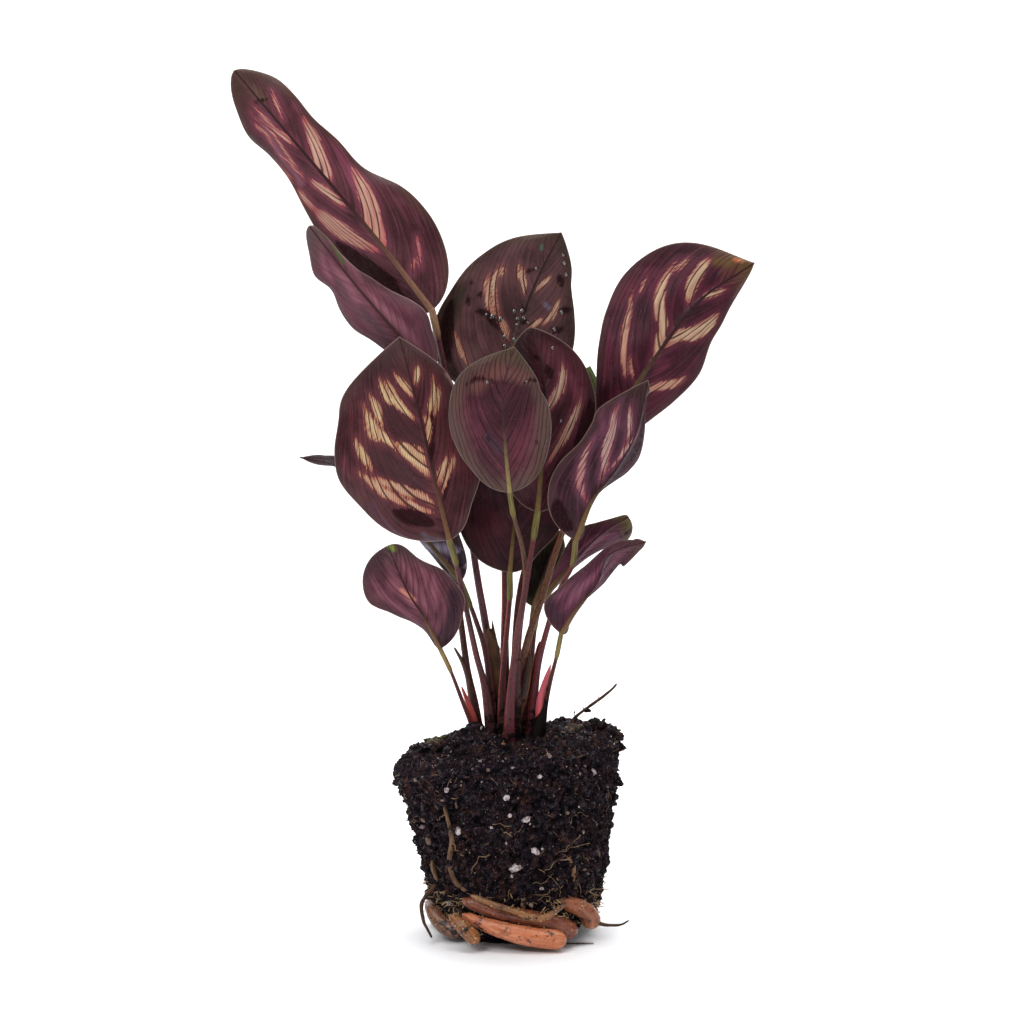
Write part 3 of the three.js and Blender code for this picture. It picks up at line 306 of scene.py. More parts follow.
# The marks on each blade as they are read off the photo: a width and the spots along the middle, all in
# photo pixels. Flames are pale. Haze is lighter: partly the blade's own pale stripes, partly painted
# highlights
# and sheen. Dark is deeper: partly real dark patches and wet spots, partly painted shade in creases and
# where one blade shades another. A tone has its own colour before its spots, and a drop of water has its
# width and one spot.
STROKES = {
    "tall_left": dict(
        flames=[(4, (271, 90), (283, 120)),
        (15, (303, 117), (311, 132), (316, 146), (321, 160), (327, 174), (331, 182)),
        (18, (352, 167), (361, 184), (369, 203), (373, 220), (380, 236), (386, 246)),
        (5, (253, 105), (265, 119), (277, 131), (292, 140), (297, 144)),
        (4, (254, 122), (266, 134), (275, 146)), (3, (277, 151), (297, 170)),
        (9, (308, 179), (321, 187), (335, 198), (345, 208)), (6, (297, 187), (306, 200), (318, 213)),
        (17, (313, 208), (326, 220), (340, 230), (356, 240), (379, 252)),
        (3, (252, 103), (268, 124), (284, 138), (298, 146)),
        (3, (250, 112), (271, 131), (290, 158), (304, 182)), (3, (286, 160), (296, 171), (305, 176)),
        (3, (278, 162), (294, 184)), (4, (417, 236), (420, 268)), (4, (414, 258), (412, 275))],
        haze=[(6, (292, 101), (301, 113)), (8, (335, 141), (342, 153)),
        (12, (330, 135), (352, 175), (366, 215))],
        # painted shadow: the wide first dark stroke darkens the lower left, where the curled leaf in front
        # shades this blade
        dark=[(22, (336, 242), (352, 257), (370, 271), (388, 284), (405, 300)),
        (3, (254, 103), (270, 98))],
        # painted sheen: the first tone is a purple sheen near the left edge
        tones=[(6, (132, 84, 98), (262, 118), (280, 152), (300, 184)),
        (8, (92, 68, 58), (254, 90), (262, 98))],
    ),
    "back_centre": dict(
        flames=[(8, (490, 272), (487, 280), (487, 290), (488, 300), (491, 310), (497, 317)),
        (8, (497, 314), (501, 322), (505, 330), (508, 342)),
        (6.5, (503, 262), (499, 271), (495, 279), (494, 288), (495, 296), (497, 308), (501, 317)),
        (4, (505, 266), (503, 278)), (4, (519, 264), (518, 274), (519, 283)),
        (6.5, (523, 266), (522, 276), (524, 285), (525, 296)),
        (6.5, (552, 276), (546, 282), (540, 287), (534, 293)),
        (8, (559, 298), (556, 308), (551, 317), (543, 325)), (8, (544, 319), (537, 323), (528, 328)),
        (6.5, (454, 330), (457, 342), (462, 354), (470, 367))],
        haze=[(10, (480, 330), (486, 350)), (8, (560, 330), (540, 345))],
        dark=[(14, (452, 300), (446, 330), (452, 365)),
        (8, (476, 311), (486, 313), (495, 322), (500, 332)), (6, (521, 308), (527, 312)),
        (5, (520, 322), (529, 322)), (8, (559, 275), (563, 287)), (5, (478, 292), (480, 297)),
        (6, (556, 311), (571, 309)), (6, (553, 333), (563, 328)), (4, (470, 281), (473, 285)),
        (5, (468, 296), (470, 306)), (3, (527, 272), (538, 268))],
        tones=[(10, (48, 40, 26), (462, 290), (450, 320), (444, 345)),
        # painted sheen: the pale bluish tone at (545, 304)
        (2.5, (74, 116, 92), (542, 246), (542, 249)), (4, (112, 106, 126), (545, 304), (549, 308))],
        drops=[(4, 514, 310), (5, 522, 312), (4, 524, 317), (4, 518, 318), (3.5, 518, 324), (5, 494, 316),
        (5, 500, 321), (3, 486, 313), (4.5, 503, 338), (4, 513, 340), (4, 503, 347), (3.5, 536, 268),
        (3.5, 564, 256), (4, 564, 264), (4, 566, 274), (4, 561, 312), (4, 554, 330), (3, 528, 323)],
    ),
    "mid_right": dict(
        flames=[(10, (562, 362), (562, 383), (552, 402), (549, 411)), (4.5, (566, 367), (565, 383)),
        (10, (581, 392), (573, 421), (562, 440), (547, 466))],
        haze=[(5, (572, 375), (575, 400)), (5, (568, 455), (556, 480))],
        # the first dark stroke, on the lower right, is partly the blade's own dark colour and partly
        # painted shade
        dark=[(22, (590, 400), (585, 440), (572, 480)), (14, (500, 420), (505, 480)),
        (5, (533, 356), (541, 360)), (8, (546, 366), (552, 378))],
        drops=[(3, 554, 348), (3, 560, 420)],
    ),
    "narrow_right": dict(
        flames=[(9, (592, 440), (584, 457), (581, 472), (580, 485), (587, 504)),
        (10, (621, 403), (613, 424), (608, 444), (605, 462), (601, 480)),
        (5.5, (633, 402), (630, 416), (629, 430), (624, 447)),
        (4.5, (640, 428), (630, 444), (619, 458), (608, 472))],
        haze=[(6, (597, 430), (590, 450)), (8, (612, 400), (600, 440)), (6, (625, 395), (622, 430))],
        dark=[(18, (556, 500), (562, 520), (572, 530))],
    ),
    "large_right": dict(
        flames=[(13, (711, 258), (699, 272), (692, 286), (688, 304)), (5.5, (691, 257), (676, 273)),
        (11, (677, 260), (666, 276), (660, 293), (660, 314), (663, 328), (656, 353), (650, 363)),
        (4.5, (648, 271), (642, 286), (638, 294)),
        (7.5, (632, 289), (630, 309), (626, 328), (624, 349), (625, 370), (626, 379)),
        (3.5, (631, 356), (633, 379)), (7.5, (701, 300), (712, 294), (726, 289)),
        (14.5, (666, 348), (680, 335), (694, 334), (709, 324), (719, 313)),
        (10, (643, 394), (656, 387), (674, 384), (687, 376))],
        haze=[(4, (611, 328), (604, 388)), (6, (655, 372), (672, 360))],
        dark=[(14, (612, 400), (618, 430))],
        tones=[(4, (170, 92, 50), (735, 260), (741, 261)), (9, (98, 74, 42), (716, 262), (728, 262))],
    ),
    "broad_left": dict(
        flames=[(7.5, (380, 377), (384, 392), (389, 401), (396, 405)),
        (9, (385, 378), (392, 390), (398, 402), (405, 410), (416, 420)),
        (7.5, (394, 373), (401, 382), (408, 390), (412, 397)), (6.5, (417, 365), (417, 374), (415, 386)),
        (9, (369, 393), (374, 404), (378, 414), (383, 426)),
        (10, (362, 404), (369, 420), (378, 432), (389, 441), (400, 450)),
        (10, (393, 446), (410, 457), (421, 466), (429, 477)), (6.5, (364, 422), (372, 436), (381, 442)),
        (11, (396, 442), (408, 448), (418, 456), (427, 465)), (5.5, (413, 444), (421, 450), (426, 461)),
        (9, (355, 437), (360, 449), (365, 460), (373, 472)),
        (10, (374, 477), (390, 485), (410, 493), (424, 497), (434, 507)),
        (9, (357, 470), (370, 480), (384, 492), (397, 499), (417, 507), (436, 513)),
        (4.5, (374, 487), (384, 495), (393, 499)), (6.5, (432, 375), (433, 394), (431, 406), (428, 417)),
        (6.5, (429, 414), (429, 430), (428, 445)), (6.5, (438, 386), (438, 396), (437, 406), (434, 417)),
        (4.5, (425, 414), (426, 425)), (7.5, (448, 456), (444, 465), (440, 476), (438, 487)),
        (6.5, (453, 454), (452, 464), (446, 477), (442, 493))],
        haze=[(8, (455, 410), (452, 440)), (8, (345, 455), (352, 480))],
        dark=[(17, (393, 511), (413, 518), (434, 525)), (8, (431, 402), (431, 430), (432, 462)),
        (7, (449, 462), (444, 500))],
        tones=[(17, (66, 36, 40), (390, 413), (402, 426), (418, 444)),
        (17, (66, 35, 40), (372, 457), (392, 470), (420, 486)),
        # painted highlight: the pale bluish tone at (424, 535)
        (10, (76, 42, 54), (372, 508), (388, 527), (412, 540)), (5, (96, 84, 98), (424, 535), (440, 541)),
        (2.5, (164, 126, 124), (446, 374), (459, 392), (467, 412))],
    ),
    "small_front": dict(
        dark=[(3.5, (466, 385), (476, 379), (486, 379), (497, 383)),
        (3.5, (522, 384), (530, 380), (538, 381)), (3, (487, 437), (490, 440)),
        (3, (535, 440), (538, 444))],
        tones=[(13, (104, 66, 62), (478, 384), (500, 372), (524, 378)),
        # painted sheen: the bluish grey tone at (488, 436)
        (8, (66, 42, 56), (488, 436), (500, 450))],
        drops=[(3, 487, 381), (2.5, 527, 381)],
    ),
    "curled_left": dict(
        haze=[(10, (330, 262), (350, 290), (375, 318)), (9, (365, 290), (395, 320), (420, 345)),
        (8, (340, 285), (362, 312), (392, 345)), (5, (320, 250), (335, 285))],
        tones=[(4, (74, 92, 44), (328, 232), (334, 246), (344, 262)),
        (9, (84, 58, 66), (362, 308), (376, 326), (392, 346)),
        (6, (92, 64, 72), (338, 282), (352, 304), (368, 322)),
        (5, (132, 84, 96), (334, 236), (346, 258), (362, 280))],
    ),
    "low_right": dict(
        haze=[(8, (562, 612), (585, 585), (605, 560)), (6, (595, 585), (615, 562), (630, 548)),
        (5, (556, 600), (575, 580)), (3, (590, 595), (606, 572))],
        tones=[(15, (58, 35, 45), (549, 606), (556, 618))],
    ),
    "low_right_back": dict(
        haze=[(5, (570, 570), (590, 548), (610, 532)), (3, (578, 552), (600, 535))],
        dark=[(6, (622, 533), (630, 528))],
        tones=[(5, (50, 34, 26), (632, 534), (646, 541))],
    ),
    "low_left": dict(
        haze=[(6, (387, 580), (400, 592), (412, 602)), (8, (385, 560), (402, 590), (420, 612)),
        (7, (398, 555), (415, 585), (430, 615)), (6, (415, 560), (425, 590)), (7, (433, 575), (435, 610)),
        (6, (372, 575), (392, 602), (420, 625)), (6, (446, 590), (441, 625))],
        # painted shade: the first tone darkens the blade's lower right edge to bluish black
        tones=[(14, (52, 32, 42), (452, 596), (450, 620), (443, 640)),
        (5, (128, 146, 58), (390, 546), (393, 549)), (4, (196, 126, 104), (402, 590), (414, 600))],
    ),
    "hidden_left": dict(
        # painted highlight: the bluish-white haze and tone stand for shine on the lower side
        haze=[(8, (425, 545), (445, 560))],
        dark=[(16, (455, 560), (470, 560))],
        tones=[(9, (158, 148, 170), (418, 540), (440, 548), (466, 562))],
    ),
}

# Each blade's colours as seen on screen: deep and body make the underside, haze its light stripes and its
# painted highlights and sheen, margin the edge and, where tip isn't stated, the tip, flame and flame_edge
# the pale marks, flame_foot those near the stalk, rib_low and rib_high the midrib, thread the dark lines,
# and shade the dark spots, partly real dark patches and partly painted shade.
COMMON = dict(
    rim=(126, 104, 92), flame=(176, 142, 118), flame_edge=(140, 74, 70), shade=(32, 12, 15),
    thread=(52, 20, 20), rib_low=(116, 92, 56), rib_high=(44, 20, 20), rib_reach=0.5, margin_share=0.6,
    tip_share=0.6, vein_dark=0.74, edge_reach=5.0, pitch=6.0, flame_foot=(186, 138, 116),
)
LOOKS = {
    "tall_left": dict(
        deep=(62, 32, 37), body=(86, 48, 53), haze=(130, 66, 86), margin=(77, 57, 48),
        flame=(218, 174, 154), flame_edge=(190, 92, 96), flame_foot=(208, 156, 136), shade=(26, 9, 10),
        rib_low=(140, 102, 80),
    ),
    "curled_left": dict(
        deep=(80, 43, 53), body=(107, 61, 74), haze=(136, 86, 100), margin=(82, 62, 65),
        rim=(140, 112, 110), rib_high=(56, 33, 33), tip=(92, 82, 78), vein_dark=0.84, rib_low=(62, 40, 36),
    ),
    "broad_left": dict(
        deep=(52, 23, 29), body=(83, 43, 46), haze=(112, 56, 65), margin=(74, 56, 54),
        flame=(218, 188, 144), flame_edge=(172, 100, 82), rib_low=(112, 80, 54),
        rib_high=(52, 30, 28), flame_foot=(198, 156, 130), rim=(150, 120, 116),
    ),
    "back_centre": dict(
        deep=(62, 38, 40), body=(94, 61, 62), haze=(110, 70, 74), margin=(58, 46, 34),
        flame=(214, 178, 152), flame_edge=(166, 92, 78), flame_foot=(202, 154, 128),
    ),
    "small_front": dict(
        deep=(56, 24, 34), body=(94, 43, 57), haze=(112, 62, 72), margin=(90, 72, 64),
        rib_low=(146, 132, 80), rib_high=(64, 40, 44), tip_share=0.8, margin_share=0.8, edge_reach=11.0,
        vein_dark=0.48, tip=(78, 62, 44), pitch=6.5, rim=(112, 104, 96),
    ),
    "mid_right": dict(
        deep=(40, 15, 21), body=(82, 35, 46), haze=(108, 50, 66), margin=(40, 20, 20),
        flame=(198, 164, 142), flame_edge=(140, 68, 70), flame_foot=(182, 128, 112),
    ),
    "narrow_right": dict(
        deep=(34, 15, 22), body=(58, 28, 38), haze=(112, 64, 84), margin=(70, 49, 48),
        flame=(198, 164, 154), flame_edge=(152, 76, 88), flame_foot=(182, 128, 128),
    ),
    "large_right": dict(
        deep=(44, 15, 26), body=(78, 28, 44), haze=(104, 44, 62), margin=(74, 50, 52),
        flame=(208, 176, 144), flame_edge=(166, 92, 84), tip=(96, 70, 36), tip_share=0.8,
        flame_foot=(202, 150, 128),
    ),
    "low_right": dict(deep=(64, 33, 45), body=(92, 50, 66), haze=(122, 70, 90), margin=(72, 51, 47)),
    "low_right_back": dict(
        deep=(70, 33, 48), body=(100, 50, 70), haze=(132, 74, 95), margin=(69, 53, 34), tip=(86, 76, 40),
        tip_share=0.9,
    ),
    "low_left": dict(
        deep=(73, 36, 48), body=(108, 61, 73), haze=(134, 80, 94), margin=(66, 53, 54), vein_dark=0.6,
    ),
    # hidden_left's bluish white haze colour is a painted sheen
    "hidden_left": dict(deep=(38, 17, 29), body=(69, 35, 51), haze=(128, 116, 150), margin=(53, 38, 34)),
    "broad_back": dict(deep=(30, 10, 14), body=(64, 25, 35), haze=(84, 36, 47), margin=(44, 22, 20)),
    # dark_back's near-black olive colours are partly painted shade, as it stands behind the other blades
    "dark_back": dict(deep=(20, 14, 10), body=(38, 28, 20), haze=(54, 42, 28), margin=(70, 62, 40)),
    "rear_green": dict(deep=(41, 23, 25), body=(67, 36, 40), haze=(90, 54, 57), margin=(68, 53, 39)),
}

# Each stalk's colours: deep, body and light for its stripes, base for its lower part, left and right
# for the colour along each side, partly its own edge colour and partly painted sheen and glow, wing for its
# thin sheath edge, and foot for how high the earth and painted shade at the foot reach in mm.
PLAIN_STALK = dict(
    deep=(40, 20, 20), body=(78, 37, 38), light=(112, 66, 62), base=(58, 22, 26), left=(150, 56, 46),
    right=(150, 56, 46), left_share=0.4, right_share=0.4, wing=(200, 96, 88), wing_low=(150, 52, 40),
    joint=(80, 70, 34), joint_light=(124, 112, 60), foot=3.0,
)
STALK_LOOKS = {
    "tall_left": dict(
        deep=(48, 24, 28), body=(90, 49, 56), light=(132, 88, 102), base=(70, 26, 28), left=(118, 84, 100),
        right=(128, 44, 44), left_share=0.6, right_share=0.7, joint=(122, 86, 66),
        joint_light=(162, 126, 98), foot=4.0,
    ),
    "curled_left": dict(
        deep=(40, 22, 20), body=(74, 42, 36), light=(104, 70, 58), base=(54, 26, 24), wing=(88, 64, 46),
        wing_low=(72, 46, 38),
    ),
    "broad_left": dict(
        deep=(46, 22, 25), body=(88, 45, 49), light=(122, 72, 76), base=(66, 26, 28), right=(48, 28, 24),
        right_share=0.8,
    ),
    "back_centre": dict(
        deep=(46, 22, 22), body=(84, 36, 40), left=(196, 104, 88), right=(150, 60, 40), left_share=0.7,
        right_share=0.5,
    ),
    "small_front": dict(
        deep=(50, 36, 26), body=(82, 58, 42), light=(112, 84, 56), right=(120, 50, 42), base=(56, 30, 28),
    ),
    "mid_right": dict(
        deep=(46, 21, 24), body=(82, 42, 44), light=(112, 66, 66), base=(84, 32, 38), left=(140, 66, 54),
        right=(106, 32, 54), right_share=0.6, foot=1.0,
    ),
    "narrow_right": dict(
        deep=(54, 24, 27), body=(98, 46, 49), light=(130, 74, 74), base=(86, 28, 38), right=(106, 36, 56),
        right_share=0.5,
    ),
    "large_right": dict(
        deep=(52, 30, 22), body=(94, 56, 46), light=(150, 112, 74), base=(80, 24, 38),
        right=(168, 110, 62), right_share=0.3, foot=7.0,
    ),
    "low_right": dict(
        deep=(44, 24, 26), body=(72, 42, 44), light=(98, 66, 62), base=(60, 28, 28), left=(180, 80, 70),
        right=(166, 90, 52), left_share=0.3, right_share=0.5, wing=(198, 96, 108), wing_low=(176, 56, 46),
        joint=(88, 74, 36), joint_light=(132, 116, 64), foot=14.0,
    ),
    "low_left": dict(
        deep=(42, 20, 24), body=(72, 38, 42), light=(104, 62, 64), base=(84, 34, 34), right=(170, 70, 60),
        wing=(186, 76, 68), wing_low=(140, 44, 38), joint=(100, 76, 42), joint_light=(146, 120, 72),
    ),
    "broad_back": dict(deep=(44, 18, 22), body=(84, 34, 40), left=(190, 96, 84), left_share=0.6),
}

# Sheaths that wrap the lower part of a stalk, from the soil up: path, radii and own colours.
SHEATHS = {
    "large_right": (
        [[9.5, -8, 88], [9.5, -8, 99], [9.5, -8, 112], [11, -8, 124], [13, -8, 138]],
        [3.4, 3.2, 2.7, 2.1, 1.0],
        dict(deep=(50, 22, 24), body=(88, 38, 40), light=(120, 72, 56), base=(70, 18, 32), foot=8.0),
    ),
    "narrow_right": (
        [[1.9, -13, 92], [2.8, -13, 103], [4.8, -13, 112.5], [6.8, -13, 121.5], [8.4, -13, 133]],
        [1.0, 1.5, 2.4, 2.1, 0.8],
        dict(deep=(28, 20, 17), body=(58, 44, 35), light=(84, 64, 48), base=(46, 32, 26),
            left=(110, 30, 56), right=(128, 84, 48), right_share=0.8, foot=2.0),
    ),
    "low_right": (
        [[11.2, -14, 89], [11.8, -14, 97], [13.4, -14, 104], [15.2, -14, 111]], [3.3, 2.9, 2.0, 0.9],
        dict(deep=(16, 11, 12), body=(30, 19, 19), light=(44, 28, 26), base=(14, 10, 11), left_share=0.0,
            right_share=0.0, foot=24.0),
    ),
}

# Larger clods on the ball's edge and top, as x, y, z, size and how flat they are.
CLODS = [
    (40.5, -12, 98.5, 3.2, 0.9), (45.5, -12, 96.8, 3.2, 0.7), (49, -11, 93.6, 3.0, 0.7),
    (50.5, -9, 88.5, 2.4, 0.8), (35, -14, 95, 2.8, 0.6), (-48.6, -9, 80.5, 2.8, 0.8),
    (-50.6, -7, 77.0, 2.4, 0.7), (-45, -12, 84.5, 2.8, 0.7), (-41, -12, 88.0, 2.6, 0.8),
    (49.6, -8, 71.5, 1.9, 0.9), (48, -8, 65, 1.8, 1.0), (-46.6, -8, 64.5, 1.8, 0.8),
    (-46, -7, 58, 1.6, 1.0), (-35, -18, 90, 2.6, 0.7), (18, -25, 93, 2.2, 0.6), (-26, -24, 92.5, 2.4, 0.6),
    (43.6, -11, 41, 1.7, 1.1), (41.6, -10, 30, 1.8, 0.8), (-41, -8, 36, 1.5, 1.1),
    (35.5, -6, 105.1, 1.3, 0.7), (34.4, -6, 105.2, 1.0, 0.8),
]
PALE_CLODS = [
    (27.6, -12.5, 97.4, 3.5, 0.7), (23.8, -14, 96.0, 1.7, 0.5), (31.5, -9, 98.0, 1.6, 0.8),
    (-37.4, -14, 91.6, 2.2, 0.6), (-34.5, -15, 92, 1.5, 0.7), (48, -14, 92, 1.2, 0.6),
    (20.5, -20, 95, 1.0, 0.7), (43, -15, 96, 1.1, 0.6),
]

# Tan chips of bark and tufts of moss, stated in the same way.
TAN_CHIPS = [
    (26.0, -24, 93.0, 1.5, 0.5), (29.0, -24, 93.5, 1.3, 0.4), (22, -26, 91.5, 0.9, 0.5),
    (-4, -28, 93, 0.9, 0.5),
]
MOSS = [
    (-38.5, -12, 92.0, 2.0, 0.6), (-35.0, -13, 93.2, 1.8, 0.6), (-31.5, -13, 93.9, 1.5, 0.6),
    (49, -8, 96.0, 1.4, 0.6),
]

# Pale grains that stand out on the ball's front, as x, z, width and height.
GRAINS = [
    (-13, 87, 3.7, 1.9), (-11, 84.5, 1.6, 1.4), (-32, 70, 2.8, 1.9), (-25, 67.5, 1.4, 3.2),
    (-2.8, 73, 2.8, 2.8), (-1, 64, 1.9, 1.5), (6, 61.5, 4.6, 2.8), (-38, 48, 2.8, 4.2),
    (-24, 55, 2.3, 4.2), (10.2, 46.5, 3.7, 3.2), (1.4, 38, 5.8, 3.6), (0, 34.5, 2.8, 1.9),
    (32, 53, 1.4, 2.3), (33.5, 35, 1.9, 1.9), (14, 28, 1.9, 1.4), (16.5, 90, 1.9, 2.3),
    (36.5, 81, 2.3, 2.8), (12.5, 82, 1.9, 1.4), (-30, 74.5, 2.3, 2.3), (-44, 77, 1.9, 1.9),
    (-40.5, 57.5, 2.3, 1.4), (-41, 53, 2.3, 1.9), (-28.5, 19, 1.9, 1.9), (8.5, 21, 1.9, 1.9),
]

# Fine roots that lie on the ball's front, as x and z, with their thickness.
FINE_ROOTS = [
    (0.5, (-27.5, 50), (-26, 47), (-22, 43)), (0.4, (-30, 62), (-33, 60.5), (-34.5, 59)),
    (0.45, (-9.8, 45), (-15, 43), (-17.5, 38.5), (-19.5, 35.5)),
    (0.35, (-3.7, 55.5), (0.3, 54.5), (5, 58)), (0.3, (-9, 60), (-3, 59), (0.5, 58.5)),
    (0.5, (37, 46.5), (31, 47), (25.5, 45.5), (20.5, 44.5)), (0.4, (31, 52), (26, 47.5), (23, 46)),
    (0.45, (27, 42.5), (20.5, 41), (17, 38), (14, 36.5)), (0.4, (19, 35), (15.5, 31.5), (9.5, 30.5)),
    (0.45, (20.5, 28.5), (17, 27), (14.5, 25), (12, 23)), (0.4, (35, 38.5), (31.5, 42.5)),
    (0.45, (22.5, 29), (22, 20.5)), (0.4, (18.5, 20.5), (17, 24), (14, 25), (8, 25.5)),
    (0.35, (24.5, 23), (21.5, 18.5)), (0.4, (-19, 20.5), (-13, 24), (-9, 25)),
    (0.35, (-2, 28), (-2, 23), (-6.5, 19)), (1.6, (5.4, 23), (5.2, 19.5), (7.2, 16.5)),
    (0.35, (-47.5, 57), (-46, 55), (-42.5, 55)), (0.35, (12, 38), (18, 33), (23, 26)),
    (0.3, (26, 58), (30, 62), (35, 60)),
]

# Small hooks and joints on the twig, and a thread on the floor: thickness and path.
TWIG_HOOKS = [
    (0.3, [[33.6, -6, 105.6], [32.7, -6.5, 107.3]]), (0.25, [[40.2, -6, 110.2], [40.1, -6, 112.4]]),
    (0.22, [[29.3, -6, 101.5], [29.1, -6, 104], [29, -6, 105.2]]),
    (0.55, [[29.1, -6, 103.8], [29, -6, 105]]), (0.7, [[27.6, -5.5, 97], [30.3, -6, 101.5]]),
    (0.4, [[24.5, -30, 0.5], [31, -30, 0.4], [38, -30, 0.5]]),
]


def srgb(red, green, blue):
    """A colour as seen on screen, 0 to 255, as the linear one that materials take."""
    shares = [part / 255 for part in (red, green, blue)]
    linear = [part / 12.92 if part <= 0.04045 else ((part + 0.055) / 1.055) ** 2.4 for part in shares]
    return (*linear, 1)


# Curves

def smooth(values, u):
    """A smooth curve or run of numbers through evenly spaced values, at the shares u."""
    values = np.asarray(values, float)
    if values.ndim == 1:
        values = values[:, None]
    u = np.clip(np.atleast_1d(np.asarray(u, float)), 0, 1)
    last = len(values) - 1
    index = np.minimum((u * last).astype(int), last - 1)
    within = (u * last - index)[:, None]
    padded = np.vstack([2 * values[0] - values[1], values, 2 * values[-1] - values[-2]])
    before, start, end, after = (padded[index + k] for k in range(4))
    leave = 0.5 * (end - before)
    arrive = 0.5 * (after - start)
    square = -3 * start + 3 * end - 2 * leave - arrive
    cube = 2 * start - 2 * end + leave + arrive
    return start + leave * within + square * within ** 2 + cube * within ** 3


def run(values, u):
    return smooth(values, u)[:, 0]


def unit(vectors):
    return vectors / np.maximum(np.linalg.norm(vectors, axis=-1, keepdims=True), 1e-9)


def direction(points, u):
    step = 1e-3
    return unit(smooth(points, np.minimum(u + step, 1)) - smooth(points, np.maximum(u - step, 0)))


def path_length(points):
    line = smooth(points, np.linspace(0, 1, 200))
    return np.linalg.norm(np.diff(line, axis=0), axis=1).sum()


def end_steps(count):
    return (1 - np.cos(np.pi * np.linspace(0, 1, count))) / 2


def soft_step(values, low, high):
    share = np.clip((values - low) / (high - low), 0, 1)
    return share * share * (3 - 2 * share)


# Meshes

class Shape:
    """Points, faces and values at the points, gathered from one or many small parts."""

    def __init__(self):
        self.points = []
        self.faces = []
        self.kinds = []
        self.values = {}
        self.count = 0

    def add(self, points, faces, kind=0, **values):
        points = np.asarray(points, float).reshape(-1, 3)
        self.points.append(points)
        self.faces.extend((np.asarray(faces) + self.count).tolist())
        self.kinds.extend([kind] * len(faces))
        for key, value in values.items():
            full = np.broadcast_to(np.asarray(value, float), (len(points), *np.shape(value)[1:]))
            self.values.setdefault(key, []).append(full)
        self.count += len(points)

    def add_tube(self, points, kind=0, **values):
        self.add(points, grid_faces(*points.shape[:2], wrap=True), kind, **values)

    def piece(self, name, materials, slot, *nodes):
        mesh = bpy.data.meshes.new(name)
        points = np.vstack(self.points) * MM
        mesh.from_pydata(points.tolist(), [], self.faces)
        mesh.polygons.foreach_set("material_index", self.kinds)
        for material in materials:
            mesh.materials.append(material)
        for key, parts in self.values.items():
            data = np.concatenate(parts)
            kind, field = ("FLOAT_VECTOR", "vector") if data.ndim == 2 else ("FLOAT", "value")
            mesh.attributes.new(key, kind, "POINT").data.foreach_set(field, data.ravel())
        mesh.shade_smooth()
        mesh.set_sharp_from_angle(angle=math.radians(SHARP_ANGLE))
        mesh.update()
        made = placed_object(name, mesh)
        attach(made, "root")
        if nodes:
            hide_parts(*nodes)


def placed_object(name, data):
    made = bpy.data.objects.new(name, data)
    bpy.context.scene.collection.objects.link(made)
    return made


def grid_faces(rows, columns, wrap=False, turned=False):
    """Four-sided faces of a grid of points."""
    row, column = np.meshgrid(np.arange(rows - 1), np.arange(columns - (0 if wrap else 1)), indexing="ij")
    row, column = row.ravel(), column.ravel()
    beside = (column + 1) % columns
    corners = [row * columns + column, row * columns + beside, (row + 1) * columns + beside,
               (row + 1) * columns + column]
    return np.stack(corners[::-1] if turned else corners, 1)


def rings(centre, along, radius, sides, swell_of):
    """Rings of points round a line, each point swollen by what swell_of gives for its ring."""
    angle = 2 * np.pi * np.arange(sides) / sides
    across = np.array([1.0, 0.0, 0.0])
    rows = []
    for k in range(len(centre)):
        across = unit(across - across.dot(along[k]) * along[k])
        up = np.cross(along[k], across)
        ring = np.cos(angle)[:, None] * across + np.sin(angle)[:, None] * up
        rows.append(centre[k] + ring * (radius[k] * swell_of(k, ring))[:, None])
    return np.array(rows)


def tube(path, radii, count, sides, ends=(True, True), uneven=0.0, seed=0):
    """A round tube along a smooth path: its points, and the turn round it and reach along it of each."""
    u = end_steps(count)
    centre = smooth(path, u)
    length = path_length(path)
    radius = run(radii, u)
    for share, closed in ((u, ends[0]), (1 - u, ends[1])):
        if closed:
            reach = np.clip(share * length / (1.3 * radius.max()), 0, 1)
            radius = radius * np.sqrt(np.maximum(1 - (1 - reach) ** 2, 0.0004))

    def swell(k, ring):
        if not uneven:
            return np.ones(sides)
        spots = [Vector(centre[k] * 0.16 + way * 0.5) + Vector((seed, 0, 0)) for way in ring]
        return 1 + uneven * np.array([noise.fractal(spot, 1, 2, 3) for spot in spots])

    points = rings(centre, direction(path, u), radius, sides, swell)
    return points, np.tile(np.arange(sides) / sides, count), np.repeat(u * length, sides)


# Materials

